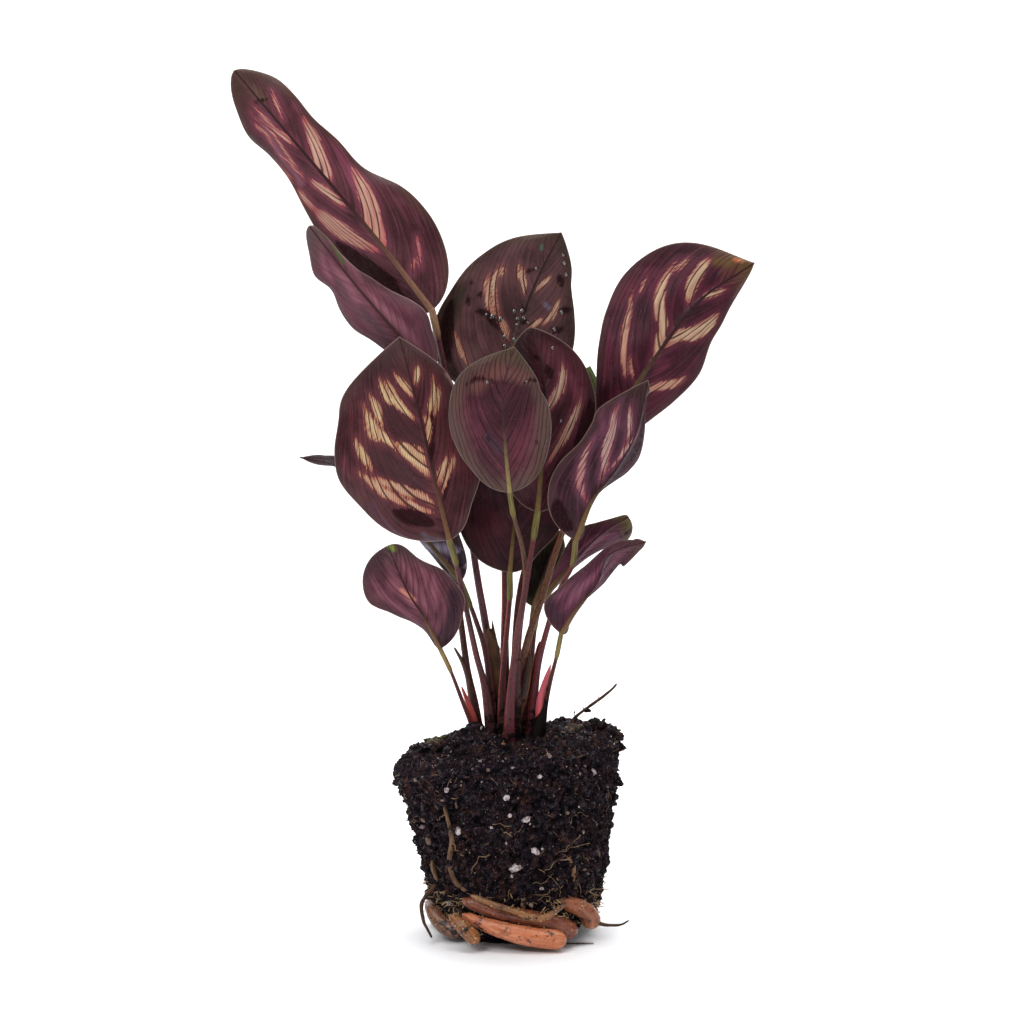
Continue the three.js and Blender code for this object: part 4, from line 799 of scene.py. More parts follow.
class Wire:
    """What comes out of a node. It can be added to and multiplied, and short calls make more nodes."""

    def __init__(self, paint, socket):
        self.paint = paint
        self.socket = socket

    def __add__(self, other):
        return self.calc("ADD", other)

    def __sub__(self, other):
        return self.calc("SUBTRACT", other)

    def __mul__(self, other):
        return self.calc("MULTIPLY", other)

    def calc(self, operation, other=0.0):
        return self.paint.wire("ShaderNodeMath", 0, {0: self, 1: other}, operation=operation)

    def ridges(self, pitch):
        """Up and down between 0 and the pitch."""
        return self.calc("PINGPONG", pitch)

    def part(self, axis):
        return self.paint.wire("ShaderNodeSeparateXYZ", axis, {0: self})

    def stretch(self, *scale):
        return self.paint.wire("ShaderNodeMapping", 0, {"Vector": self, "Scale": scale})

    def grain(self, scale, detail=3.0, rough=0.55):
        sources = {"Vector": self, "Scale": scale, "Detail": detail, "Roughness": rough}
        return self.paint.wire("ShaderNodeTexNoise", 0, sources)

    def cells(self, scale):
        return self.paint.wire("ShaderNodeTexVoronoi", "Distance", {"Vector": self, "Scale": scale})

    def step(self, low, high, start=0.0, end=1.0):
        sources = {"Value": self, "From Min": low, "From Max": high, "To Min": start, "To Max": end}
        return self.paint.wire("ShaderNodeMapRange", 0, sources, interpolation_type="SMOOTHSTEP")

    def blend(self, first, second):
        """From the first colour to the second as this goes from 0 to 1."""
        return self.paint.blend(self, first, second)

    def coat(self, share, top):
        """This colour with another laid over it by a share."""
        return self.paint.blend(share, self, top)

    def dimmed(self, share):
        """This colour made darker by a share."""
        return self.paint.blend(1.0, self, self.paint.joined(share, share, share), "MULTIPLY")


class Paint:
    """A material and its first nodes. Colours are as seen on screen, 0 to 255."""

    def __init__(self, name):
        self.material = bpy.data.materials.new(name)
        self.material.use_nodes = True
        self.nodes = self.material.node_tree.nodes
        self.links = self.material.node_tree.links
        self.nodes.clear()
        self.place = self.wire("ShaderNodeTexCoord", "Object", {})

    def node(self, kind, sources, **settings):
        node = self.nodes.new(kind)
        for key, value in settings.items():
            setattr(node, key, value)
        for place, source in sources.items():
            socket = node.inputs[place]
            if isinstance(source, Wire):
                self.links.new(source.socket, socket)
            else:
                socket.default_value = srgb(*source) if socket.type == "RGBA" else source
        return node

    def wire(self, kind, output, sources, **settings):
        return Wire(self, self.node(kind, sources, **settings).outputs[output])

    def value(self, key, output="Fac"):
        return self.wire("ShaderNodeAttribute", output, {}, attribute_name=key)

    def joined(self, *parts):
        return self.wire("ShaderNodeCombineXYZ", 0, dict(enumerate(parts)))

    def blend(self, share, first, second, how="MIX"):
        sources = {0: share, 6: first, 7: second}
        return self.wire("ShaderNodeMix", 2, sources, data_type="RGBA", blend_type=how)

    def rolled(self, pace):
        """Places round a tube, with the reach along it shortened to a share, for lengthwise grain."""
        turn = self.value("turn") * (2 * math.pi)
        return self.joined(turn.calc("COSINE"), turn.calc("SINE"), self.value("reach") * pace)

    def facing(self, blend=0.5):
        return self.wire("ShaderNodeLayerWeight", "Facing", {"Blend": blend})

    def sheen(self, facing, grazing):
        """Gloss that fades where a surface turns away, so that pale walls don't veil dark leaves."""
        return self.facing().step(0.35, 0.85, facing, grazing)

    def finish(self, colour, roughness, height, depth_mm, strength=1.0, gloss=0.5, **more):
        sources = {"Height": height, "Distance": depth_mm * MM, "Strength": strength}
        sources = {"Normal": self.wire("ShaderNodeBump", 0, sources), "Base Color": colour, **more}
        sources.update({"Roughness": roughness, "Specular IOR Level": gloss})
        shader = self.wire("ShaderNodeBsdfPrincipled", 0, sources)
        self.node("ShaderNodeOutputMaterial", {"Surface": shader})
        return self.material



# Blades

def oval(share, power):
    return np.sqrt(share) * (1 - share) ** power


def half_widths(widths, u, power):
    stations = np.arange(1, len(widths) + 1) / (len(widths) + 1)
    ratios = np.asarray(widths) / oval(stations, power)
    drawn = run([ratios[0], *ratios, ratios[-1]], u) * oval(u, power)
    return np.maximum(drawn, RIB_HALF_WIDTH + (TIP_HALF_WIDTH - RIB_HALF_WIDTH) * u)


def half_blade(leaf, side, u, t):
    """The middle layer of a blade's left half, side 0, or right half, side 1, at shares u along and t
    across: its points, the way they face and its widths."""
    along = direction(leaf.rib, u)
    yaw, pitch = np.radians(leaf.face)
    facing = np.array([math.sin(yaw) * math.cos(pitch), -math.cos(yaw) * math.cos(pitch), math.sin(pitch)])
    normal = unit(facing - (along @ facing)[:, None] * along)
    outward = np.cross(along, normal) * (2 * side - 1)
    width = half_widths(leaf.widths[side], u, leaf.tip)
    fold = np.radians(run(leaf.fold[side], u)) * np.clip((width - RIB_HALF_WIDTH) / 3, 0, 1)
    curl = np.radians(run(leaf.curl[side], u))[:, None]
    turn = fold[:, None] + curl * t
    out = width[:, None] / curl * (np.sin(turn) - np.sin(fold)[:, None])
    back = width[:, None] / curl * (np.cos(fold)[:, None] - np.cos(turn))
    height, waves, *starts = leaf.ruffle
    swell = np.sin(2 * np.pi * (waves * u + starts[side])) * np.sqrt(4 * u * (1 - u))
    face = normal[:, None] * np.cos(turn)[..., None] + outward[:, None] * np.sin(turn)[..., None]
    flat_share = soft_step(t, 0.0, 0.1)[None, :, None]
    face = unit(face * flat_share + normal[:, None] * (1 - flat_share))
    points = smooth(leaf.rib, u)[:, None] + outward[:, None] * out[..., None]
    points = points - normal[:, None] * back[..., None]
    return points + face * (height * t * t * swell[:, None])[..., None], face, width


def distance_to(line, flat):
    """For flat places: the distance to a line, and the share along it of the nearest spot."""
    best = np.full(len(flat), 1e9)
    share = np.zeros(len(flat))
    for k in range(len(line) - 1):
        start, step = line[k], line[k + 1] - line[k]
        offset = flat - start
        within = np.clip((offset @ step) / max(step @ step, 1e-9), 0, 1)
        away = np.linalg.norm(offset - within[:, None] * step, axis=1)
        nearer = away < best
        best[nearer] = away[nearer]
        share[nearer] = (k + within[nearer]) / (len(line) - 1)
    return best, share


def in_photo(points):
    """Where points of the plant are seen, in photo pixels."""
    ahead = np.array([0.0, math.cos(LOOK_DOWN), -math.sin(LOOK_DOWN)])
    up = np.array([0.0, math.sin(LOOK_DOWN), math.cos(LOOK_DOWN)])
    reach = points - np.array([0.0, 0.0, VIEW_HEIGHT]) + EYE_DISTANCE * ahead
    scale = EYE_DISTANCE / (reach @ ahead) / PIXEL
    return np.stack([PHOTO_CENTRE + reach[..., 0] * scale, PHOTO_CENTRE - (reach @ up) * scale], -1)


def blade_finder(leaf):
    """Gives the function that finds the shares along and across a blade under spots of the photo."""
    u = np.linspace(0.003, 0.997, FINDER_ROWS)
    t = np.linspace(0, 1, FINDER_COLUMNS)
    seen = np.vstack([in_photo(half_blade(leaf, side, u, t)[0]).reshape(-1, 2) for side in (0, 1)])
    across = np.concatenate([np.tile(-t, len(u)), np.tile(t, len(u))])
    shares = np.stack([np.tile(np.repeat(u, len(t)), 2), across], 1)

    def find(spots):
        return np.array([shares[np.argmin(np.hypot(*(seen - spot).T))] for spot in spots])
    return find


def strokes_on(strokes, away_from, count):
    """How deep inside the strokes of one kind a place is, in mm and below 0 outside, and how far it is
    from the ends of the nearest one, as 0 to 1."""
    depth = np.full(count, -9.0)
    middle = np.zeros(count)
    for width, *spots in strokes:
        away, share = away_from(spots)
        half = 0.5 * PIXEL * width * (0.12 + 0.88 * np.sin(np.pi * share) ** 0.7)
        deeper = half - away > depth
        depth[deeper] = (half - away)[deeper]
        middle[deeper] = np.sin(np.pi * share[deeper])
    return depth, middle


def tones_on(strokes, away_from, count):
    """The colours of the blade's odd spots, and how far each place takes them."""
    tone = np.zeros((count, 3))
    toned = np.zeros(count)
    for width, colour, *spots in strokes:
        half = 0.5 * PIXEL * width
        soft = 0.6 + 0.56 * half
        share = soft_step(away_from(spots)[0], half + soft, half - soft)
        nearer = share > toned
        tone[nearer] = srgb(*colour)[:3]
        toned[nearer] = share[nearer]
    return tone, toned


def blade_piece(leaf, under, upper, rim, water):
    length = path_length(leaf.rib)
    rows = int(50 + 0.6 * length)
    columns = int(18 + 0.3 * max(*leaf.widths[0], *leaf.widths[1]))
    u = end_steps(rows)
    t = np.linspace(0, 1, columns) ** 1.35
    arc = np.concatenate([[0], np.cumsum(np.linalg.norm(np.diff(smooth(leaf.rib, u), axis=0), axis=1))])
    halves = [half_blade(leaf, side, u, t) for side in (0, 1)]
    (left, left_face, left_width), (right, right_face, right_width) = halves
    middle = np.concatenate([left[:, ::-1], right[:, 1:]], axis=1)
    face = np.concatenate([left_face[:, ::-1], right_face[:, 1:]], axis=1)
    across = np.concatenate([-t[::-1], t[1:]])
    span = len(across)
    out = across[None] * np.where(across[None] < 0, left_width[:, None], right_width[:, None])
    flat = np.stack([out.ravel(), np.repeat(arc, span)], 1)
    border = np.concatenate([
        np.stack([-left_width, arc], 1), np.stack([right_width[::-1], arc[::-1]], 1),
        [[-left_width[0], arc[0]]],
    ])
    margin = distance_to(border[::2], flat)[0].reshape(rows, span)
    x = np.abs(out)
    (left_foot, left_tip), (right_foot, right_tip) = VEIN_SWEEPS.get(leaf.name, PLAIN_SWEEP)
    outward_share = u[:, None] ** SWEEP_POWER
    left_sweep = left_foot + (left_tip - left_foot) * outward_share
    right_sweep = right_foot + (right_tip - right_foot) * outward_share
    sweep = np.where(across[None] < 0, left_sweep, right_sweep)
    root = arc[:, None] - sweep * x * (1 + np.abs(across)[None])
    reach = np.sqrt(x ** 2 + (arc[:, None] - root) ** 2)
    quilt = np.cos(2 * np.pi * root / VEIN_PITCH)
    offset = 7.3 * len(leaf.name)
    pucker = [noise.noise(Vector((a * 0.07 + offset, b * 0.05, offset))) for a, b in flat]
    rib_half = leaf.girth * (0.35 + 0.95 * (1 - u) ** 1.3)[:, None]
    ridge = np.clip(1 - (x / rib_half) ** 2, 0, 1) ** 0.5 * RIB_HEIGHT * ((1 - u) ** 0.8)[:, None]
    open_blade = soft_step(x, rib_half, rib_half + 3) * soft_step(margin, 0.3, 3)
    relief = (QUILT * quilt + PUCKER * np.reshape(pucker, (rows, span))) * open_blade
    half = BLADE_HALF * (0.35 + 0.65 * soft_step(margin, 0, 1.5))
    below = middle + face * (half + ridge + relief)[..., None]
    above = middle - face * (half - relief)[..., None]

    find = blade_finder(leaf)

    def away_from(spots):
        """How far each place of the blade is from a stroke, and the share along the stroke."""
        share, side = smooth(find(spots), np.linspace(0, 1, STROKE_POINTS)).T
        widths = np.where(side < 0, np.interp(share, u, left_width), np.interp(share, u, right_width))
        return distance_to(np.stack([side * widths, np.interp(share, u, arc)], 1), flat)

    strokes = {"flames": [], "haze": [], "dark": [], "tones": [], "drops": [], **STROKES.get(leaf.name, {})}
    depth, middle_share = strokes_on(strokes["flames"], away_from, len(flat))
    haze = strokes_on(strokes["haze"], away_from, len(flat))[0]
    # dark strokes: partly real dark patches, partly painted shade
    dark = strokes_on(strokes["dark"], away_from, len(flat))[0]
    tone, toned = tones_on(strokes["tones"], away_from, len(flat))
    values = {
        "mark": np.maximum(depth, -6), "ends": middle_share,
        "haze": soft_step(haze, -1.5, 1.5), "dark": soft_step(dark, -4.0, 4.0),
        "tone": tone, "toned": toned, "margin": margin.ravel(),
        "midrib": np.clip(x / rib_half, 0, 6).ravel(), "along": np.repeat(u, span),
        "vein": np.stack([reach.ravel(), root.ravel(), (10 * np.sign(out)).ravel()], 1),
    }
    shape = Shape()
    shape.add(below, grid_faces(rows, span), 0, **values)
    shape.add(above, grid_faces(rows, span, turned=True), 1, **values)
    edge = [r * span for r in range(rows)] + [(rows - 1) * span + c for c in range(1, span)]
    edge += [r * span + span - 1 for r in range(rows - 2, -1, -1)] + list(range(span - 2, 0, -1))
    edge = np.array(edge)
    after = np.roll(edge, -1)
    shape.faces.extend(np.stack([edge, after, after + rows * span, edge + rows * span], 1).tolist())
    shape.kinds.extend([2] * len(edge))
    dome, dome_faces = finer(*finer(*lump_shape()))
    dome = dome.clip([-1, -1, DROP_BASE]) * DROP_SHAPE
    blank = {key: 0 * value[:1] for key, value in values.items()}
    for width, *spot in strokes["drops"]:
        share, side = find([spot])[0]
        row, column = np.argmin(np.abs(u - share)), np.argmin(np.abs(across - side))
        way = face[row, column]
        level = unit(np.cross(way, [0.3, 0.2, 1.0]))
        axes = np.array([level, np.cross(way, level), way])
        placed = below[row, column] + (dome * PIXEL * width) @ axes
        shape.add(placed, dome_faces, 3, **blank)
    shape.piece(f"{leaf.name}_leaf", [under, upper, rim, water], "blade", f"{leaf.name}_blade")


def blade_paint(name, look):
    """The purple underside: veined body with light stripes and painted highlights, painted shade among its
    dark spots, cream flames split by dark threads, olive margin, pale rim.
    """
    paint = Paint(f"{name}_underside")
    vein, along = paint.value("vein", "Vector"), paint.value("along")
    mark, margin = paint.value("mark"), paint.value("margin")
    patches = paint.place.grain(42.0, 4.0, 0.6)
    streaks = vein.stretch(0.035, 0.33, 1.0).grain(1.0, 4.0, 0.55)
    speckle = paint.place.grain(1500.0, 2.0)
    wander = vein.stretch(0.06, 0.12, 1.0).grain(1.0, 2.0)
    body = patches.step(0.36, 0.64).blend(look.deep, look.body)
    body = body.coat(streaks.step(0.48, 0.72, 0.0, 0.5), look.haze)
    body = body.coat(streaks.step(0.46, 0.3, 0.0, 0.55), look.deep)
    # painted highlight: the haze strokes lighten the body, partly the blade's own pale stripes and partly
    # painted highlights and sheen
    body = body.coat(paint.value("haze") * streaks.step(0.3, 0.6, 0.3, 1.0), look.haze)
    body = body.coat(mark.step(-3.5, 0.0, 0.0, 0.45), look.haze)
    worn = margin * (5.0 / look.edge_reach) + patches * -9.0
    body = body.coat(worn.step(0.5, -4.5, 0.0, look.margin_share), look.margin)
    body = body.coat((along + streaks * 0.25).step(0.92, 1.1, 0.0, look.tip_share), look.tip)
    # some tones are painted sheen, highlights and painted shade, laid on as colour
    toned = paint.value("toned") * streaks.step(0.25, 0.6, 0.5, 1.0)
    body = body.coat(toned, paint.value("tone", "Vector"))
    # painted shade: the dark strokes, partly real dark patches and wet spots and partly shade where one
    # blade covers another, darken the body towards the shade colour
    dark_and_painted_shade = paint.value("dark") + (streaks - 0.5)
    body = body.coat(dark_and_painted_shade.step(0.36, 0.62, 0.0, 0.85), look.shade)
    wavy = vein.part(1) + wander * 5.0
    vein_line = wavy.ridges(look.pitch / 2)
    weak = wavy.ridges(look.pitch / 10).step(0.05, 0.4, 0.88, 1.0)
    lines = vein_line.step(0.2, 1.0, look.vein_dark, 1.0) * weak
    body = body.dimmed(lines)

    comb = vein.stretch(1.15, 0.14, 1.0).grain(1.0, 2.0, 0.5) - 0.5
    bands = vein.stretch(0.06, 0.3, 1.0).grain(1.0, 2.0)
    depth = mark + (comb * 3.2 + bands * 1.4 - 0.7)
    inside = depth.step(0.0, 1.1) * paint.value("ends").step(0.1, 0.6, 0.25, 1.0)
    inside = inside * bands.step(0.34, 0.56, 0.45, 1.0)
    flame = inside.blend(look.flame_edge, along.step(0.28, 0.55).blend(look.flame_foot, look.flame))
    ticks = (vein.part(0) + comb * 0.35).ridges(0.65).step(0.12, 0.46, 0.45, 1.0)
    flame = flame.dimmed(ticks).coat(vein_line.step(1.0, 0.4, 0.0, 0.9), look.thread)
    colour = body.coat(depth.step(-0.25, 0.35), flame)

    rib = along.step(0.02, look.rib_reach).blend(look.rib_low, look.rib_high)
    rib = rib.coat(streaks.step(0.3, 0.7, 0.0, 0.35), look.deep)
    colour = colour.coat(paint.value("midrib").step(1.0, 0.65), rib)
    colour = colour.coat(margin.step(0.6, 0.15, 0.0, 0.7), look.rim)
    colour = colour.coat(speckle.step(0.6, 0.72, 0.0, 0.3), look.haze)
    roughness = paint.place.grain(160.0, 3.0).step(0.3, 0.7, 0.26, 0.46)
    # gloss is lowered under the dark strokes, so that painted shade stays dark
    gloss = paint.sheen(0.13, 0.01) * dark_and_painted_shade.step(0.36, 0.62, 1.0, 0.3)
    return paint.finish(colour, roughness, lines * 1.2 + speckle * 0.3, 0.25, 1.0, gloss)


def upper_paint(name, dark, light, strip):
    """The green upper side, with the same flames in paler green."""
    paint = Paint(f"{name}_upper_side")
    vein = paint.value("vein", "Vector")
    streaks = vein.stretch(0.08, 0.6, 1.0).grain(1.0, 4.0)
    patches = paint.place.grain(45.0)
    fine = vein.part(1).ridges(0.6).step(0.0, 0.25, 0.8, 1.0)
    body = streaks.step(0.3, 0.7).blend(dark, light).coat(patches.step(0.35, 0.65, 0.0, 0.5), dark)
    body = body.coat((paint.value("mark") + streaks).step(0.4, 1.2) * 0.8, strip)
    body = body.coat((paint.value("margin") + patches * 2.0).step(4.5, 1.5) * 0.8, strip)
    body = body.coat(paint.value("midrib").step(1.2, 0.6, 0.0, 0.7), strip).dimmed(fine)
    roughness = patches.step(0.3, 0.7, 0.32, 0.5)
    return paint.finish(body, roughness, fine + streaks, 0.12, 0.7, paint.sheen(0.13, 0.01))


def rim_paint():
    paint = Paint("leaf_rim")
    worn = paint.place.grain(240.0, 3.0)
    colour = worn.step(0.35, 0.65).blend((84, 64, 58), (128, 108, 98))
    return paint.finish(colour, worn.step(0.3, 0.7, 0.4, 0.6), worn, 0.05, 1.0, paint.sheen(0.15, 0.01))


def water_paint():
    """Drops of water: as dark as the wet leaf under them, lighter towards the rim as a painted reflection,
    and very glossy.
    """
    paint = Paint("water_drop")
    ripple = paint.place.grain(500.0, 2.0)
    facing = paint.facing(0.4)
    # painted reflection: the drop is lighter towards its rim, where it turns from view
    colour = facing.step(0.1, 0.8).blend((30, 15, 16), (66, 40, 44))
    shine = facing.step(0.28, 0.55, 1.0, 0.0)
    return paint.finish(colour, ripple.step(0.3, 0.7, 0.1, 0.15), ripple, 0.05, 0.5, shine, IOR=1.8)


# Stalks

def stalk_radius(u, joint):
    low = SHEATH_RADIUS + (STALK_RADIUS - SHEATH_RADIUS) * np.clip(u / 0.3, 0, 1)
    slim = STALK_RADIUS + (NECK_RADIUS - STALK_RADIUS) * np.clip((u - 0.3) / (0.7 - joint), 0, 1)
    within = np.clip((u - 1 + joint) / joint, 0, 0.8)
    swollen = NECK_RADIUS + (JOINT_RADIUS - NECK_RADIUS) * np.sin(np.pi * within)
    return np.where(u < 0.3, low, np.where(u < 1 - joint, slim, swollen))


def stalk_piece(leaf, paint):
    """A stalk from the soil to the blade, its swollen joint running on under the blade as the midrib."""
    last = smooth(leaf.rib, 0)[0]
    path = [*leaf.stalk, last.tolist()]
    length = path_length(path)
    joint = JOINT_LENGTH / length
    u = np.linspace(0, 1, int(24 + 0.35 * length))
    centre = smooth(path, u)
    ahead = direction(leaf.rib, np.zeros(1))[0]
    turned = soft_step(u, 1 - 0.5 * joint, 1.0)[:, None]
    along = unit(direction(path, u) * (1 - turned) + ahead * turned)
    steps = np.linalg.norm(np.diff(centre, axis=0), axis=1)
    to_blade = steps.sum() - np.concatenate([[0.0], np.cumsum(steps)])
    swollen = soft_step(to_blade, JOINT_LENGTH, JOINT_LENGTH - 2.5)
    radius = stalk_radius(u, joint) * (1 + FOOT_SWELL * (1 - soft_step(u, 0.06, 0.32)))
    radius = np.maximum(radius, JOINT_RADIUS * swollen)

    beyond = np.array([1.5, 3.5, 6.0])
    centre = np.vstack([centre, last + beyond[:, None] * ahead])
    along = np.vstack([along, np.repeat(ahead[None], len(beyond), 0)])
    radius = leaf.girth * np.concatenate([radius, [1.05, 0.75, 0.35]])
    swollen = np.concatenate([swollen, np.ones(len(beyond))])
    wrapped = 1 - soft_step(np.concatenate([u, np.ones(len(beyond))]), 0.3, 0.5)
    turn = np.arange(STALK_SIDES) / STALK_SIDES
    groove = 0.14 * np.exp(-((turn - 0.9) / 0.05) ** 2) - 0.1 * np.exp(-((turn - 0.8) / 0.06) ** 2)
    points = rings(centre, along, radius, STALK_SIDES, lambda k, ring: 1 + wrapped[k] * groove)
    reach = np.concatenate([u * length, length + beyond])
    shape = Shape()
    shape.add_tube(
        points, turn=np.tile(turn, len(centre)), reach=np.repeat(reach, STALK_SIDES),
        swollen=np.repeat(swollen, STALK_SIDES), pink=0.0,
    )
    materials = [paint]
    if leaf.name in WINGS:
        points, turn, reach = tube(*WINGS[leaf.name], 20, 12)
        shape.add_tube(points, turn=turn, reach=reach, swollen=0.0, pink=1.0)
    if leaf.name in SHEATHS:
        path, radii, look = SHEATHS[leaf.name]
        points, turn, reach = tube(path, radii, 30, 20, (False, True))
        shape.add_tube(points, 1, turn=turn, reach=reach + 8, swollen=0.0, pink=0.0)
        materials.append(stalk_paint(f"{leaf.name}_sheath", look))
    shape.piece(f"{leaf.name}_stem", materials, "stalk", f"{leaf.name}_stalk")


def stalk_paint(name, own):
    """Maroon with long stripes, its own edge colour and painted sheen down each side, earth and painted
    shade at the foot and a pale joint.
    """
    look = SimpleNamespace(**{**PLAIN_STALK, **own})
    paint = Paint(f"{name}_skin")
    reach, pink = paint.value("reach"), paint.value("pink")
    roll = paint.rolled(0.03)
    stripes = roll.grain(2.6, 4.0, 0.6)
    fine = paint.rolled(0.1).grain(8.0, 3.0)
    colour = stripes.step(0.32, 0.62).blend(look.deep, look.body)
    colour = colour.coat(fine.step(0.42, 0.72, 0.0, 0.7), look.light)
    colour = colour.coat(reach.step(62.0, 18.0) * stripes.step(0.3, 0.6, 0.4, 0.95), look.base)
    # painted sheen: each side takes its own colour, partly the stalk's edge colour and partly painted sheen
    # and glow
    for way, share, side_colour_and_sheen in ((-1.0, look.left_share, look.left), (1.0, look.right_share, look.right)):
        aside = roll.part(0) * way + fine * 0.6
        colour = colour.coat(aside.step(0.75, 1.2) * share, side_colour_and_sheen)
    wing = reach.step(3.0, 16.0).blend(look.wing_low, look.wing)
    colour = colour.coat(pink, wing.coat(fine.step(0.4, 0.7, 0.0, 0.4), look.wing_low))
    joint = stripes.step(0.3, 0.7).blend(look.joint, look.joint_light)
    colour = colour.coat(paint.value("swollen"), joint)
    patchy = paint.place.grain(240.0, 4.0, 0.65)
    # earth and painted shade: the foot turns near-black, partly earth clinging to it and partly painted
    # shade among the crowded stalks
    soiled_and_shaded = (reach + (patchy - 0.5) * 50.0).step(look.foot + 14.0, look.foot + 3.0)
    specks = patchy.step(0.64, 0.7) * reach.step(60.0, 20.0)
    dirt_and_shade = soiled_and_shaded.calc("MAXIMUM", specks) * pink.step(1.0, 0.0)
    colour = colour.coat(dirt_and_shade, (22, 15, 15))
    gloss = paint.sheen(0.24, 0.03) * dirt_and_shade.step(0.0, 1.0, 1.0, 0.3)
    roughness = fine.step(0.3, 0.7, 0.22, 0.46)
    return paint.finish(colour, roughness, fine + stripes + dirt_and_shade * 1.5, 0.22, 0.9, gloss)


# Soil

def lean_at(z):
    share = (z - BASE_HEIGHT) / (RIM_HEIGHT - BASE_HEIGHT)
    return np.where(z < BASE_HEIGHT, LEAN / 2 * z / BASE_HEIGHT, LEAN / 2 - LEAN * share)


def slope_at(x, z):
    return TOP_SLOPE * x * np.clip((z - BASE_HEIGHT) / (RIM_HEIGHT - BASE_HEIGHT), 0, 1)


def bumps(x, y, z):
    def bent(at, across, bend):
        return np.sin(at + bend * np.sin(across))
    coarse = bent(x * 0.31, z * 0.23, 1.3) * bent(y * 0.29, x * 0.19, 1.7)
    fine = bent(x * 0.83, y * 0.57, 2) * bent(z * 0.91, x * 0.61 + y * 0.73, 1.5)
    return 0.5 * coarse + 0.5 * fine


def crumbly(point):
    """Relief of round crumbs of several sizes at a point, about -1 to 1."""
    spot = Vector(point)
    offset = Vector((3.7, 3.7, 0))
    rough = 0.8 * noise.fractal(spot * 0.11 + offset, 0.8, 2.1, 5)
    for height, scale in ((0.7, 0.16), (0.6, 0.36), (0.4, 0.8)):
        rough += height * (0.5 - 1.6 * noise.voronoi(spot * scale + offset)[0][0] ** 2)
    return rough


def soil_skin():
    """Points of the ball's skin as a grid of rings, the way out at each, and how deep in a hollow each is,
    for painted shade.
    """
    corners = np.array([
        (0.5, 0), (FOOT_RADIUS, 0), (FOOT_RADIUS + 8, 8), (BASE_RADIUS, BASE_HEIGHT),
        (RIM_RADIUS, RIM_HEIGHT), (RIM_RADIUS - 4, RIM_HEIGHT + 4), (CROWN_RADIUS, CROWN_HEIGHT - 2),
        (0.5, CROWN_HEIGHT),
    ], float)
    outline = []
    for start, end in zip(corners[:-1], corners[1:]):
        grid = FOOT_GRID if start[1] == end[1] == 0 else SOIL_GRID
        steps = max(1, int(math.hypot(*(end - start)) / grid))
        outline.extend(start + (end - start) * k / steps for k in range(steps))
    outline = np.array([*outline, corners[-1]])
    columns = int(2 * math.pi * RIM_RADIUS / SOIL_GRID)
    angle = 2 * np.pi * np.arange(columns) / columns
    r, z = outline[:, :1], outline[:, 1:]
    x0, y0 = r * np.cos(angle), r * np.sin(angle)
    level = np.broadcast_to(z, x0.shape)
    on_top = np.clip((z - RIM_HEIGHT) / 3, 0, 1)
    spots = np.stack([x0, y0, level], -1).reshape(-1, 3)
    crumbs = np.reshape([crumbly(spot) for spot in spots], x0.shape)
    relief = (SOIL_RELIEF * bumps(x0, y0, level) + CRUMB_RELIEF * crumbs) * soft_step(z, 0.0, 3.0)
    reach = r + relief * (1 - on_top)
    x, y = reach * np.cos(angle) + lean_at(level), reach * np.sin(angle)
    mound = np.zeros_like(x)
    for mound_x, mound_y, height, spread in MOUNDS:
        mound += height * np.exp(-((x - mound_x) ** 2 + (y - mound_y) ** 2) / spread ** 2 / 2)
    up = level + (relief + mound) * on_top + slope_at(x, level)
    points = np.stack([x, y, np.maximum(up, 0)], -1)
    along = np.roll(points, -1, axis=1) - np.roll(points, 1, axis=1)
    outward = unit(np.cross(along, np.gradient(points, axis=0)))
    return points, outward, soft_step(relief, 0.4, -1.6)


def soil_paint(name, dark, light, pale_speck_and_glint):
    """Near-black damp peat with purple-brown crumbs, brown bits, painted shade in the hollows of the skin's
    relief, pale specks that are partly painted glints, and small wet glints.
    """
    paint = Paint(name)
    place = paint.place
    lumps = place.grain(330.0, 5.0, 0.72)
    crumbs = place.grain(1300.0, 4.0, 0.7)
    colour = crumbs.step(0.42, 0.66).blend(dark, light)
    colour = colour.coat(place.grain(150.0, 3.0).step(0.5, 0.7, 0.0, 0.7), (74, 46, 36))
    colour = colour.coat(lumps.step(0.57, 0.4, 0.0, 0.95), dark)
    # painted shade: hollows of the skin's relief are darkened
    colour = colour.coat(paint.value("sunk") * 0.85, dark)
    # pale specks: partly pale bits in the peat, partly painted glints
    colour = colour.coat(place.cells(520.0).step(0.2, 0.1, 0.0, 0.85) * crumbs.step(0.5, 0.58), pale_speck_and_glint)
    wet = place.grain(420.0, 2.0).step(0.58, 0.68)
    return paint.finish(colour, wet * -0.69 + 0.85, lumps + crumbs * 0.5, 1.1, 1.0, wet * 0.4 + 0.08)


def lump_shape():
    """A small round shape of twenty faces, as points and faces."""
    gold = (1 + 5 ** 0.5) / 2
    points = []
    for a in (-1, 1):
        for b in (-gold, gold):
            points += [(0, a, b), (a, b, 0), (b, 0, a)]
    points = unit(np.array(points, float))
    faces = []
    for i, j, k in itertools.combinations(range(12), 3):
        if max(np.linalg.norm(points[a] - points[b]) for a, b in ((i, j), (j, k), (i, k))) < 1.2:
            turned = np.dot(np.cross(points[j] - points[i], points[k] - points[i]), points[i]) < 0
            faces.append((i, k, j) if turned else (i, j, k))
    return points, np.array(faces)


def finer(points, faces):
    """Every face split in four, its new points pushed out to the unit ball."""
    points = list(points)
    middles = {}
    split = []

    def middle(a, b):
        key = (min(a, b), max(a, b))
        if key not in middles:
            middles[key] = len(points)
            points.append(unit(np.asarray(points[a]) + np.asarray(points[b])))
        return middles[key]

    for a, b, c in faces:
        ab, bc, ca = middle(a, b), middle(b, c), middle(c, a)
        split += [(a, ab, ca), (ab, b, bc), (ca, bc, c), (ab, bc, ca)]
    return np.array(points), np.array(split)


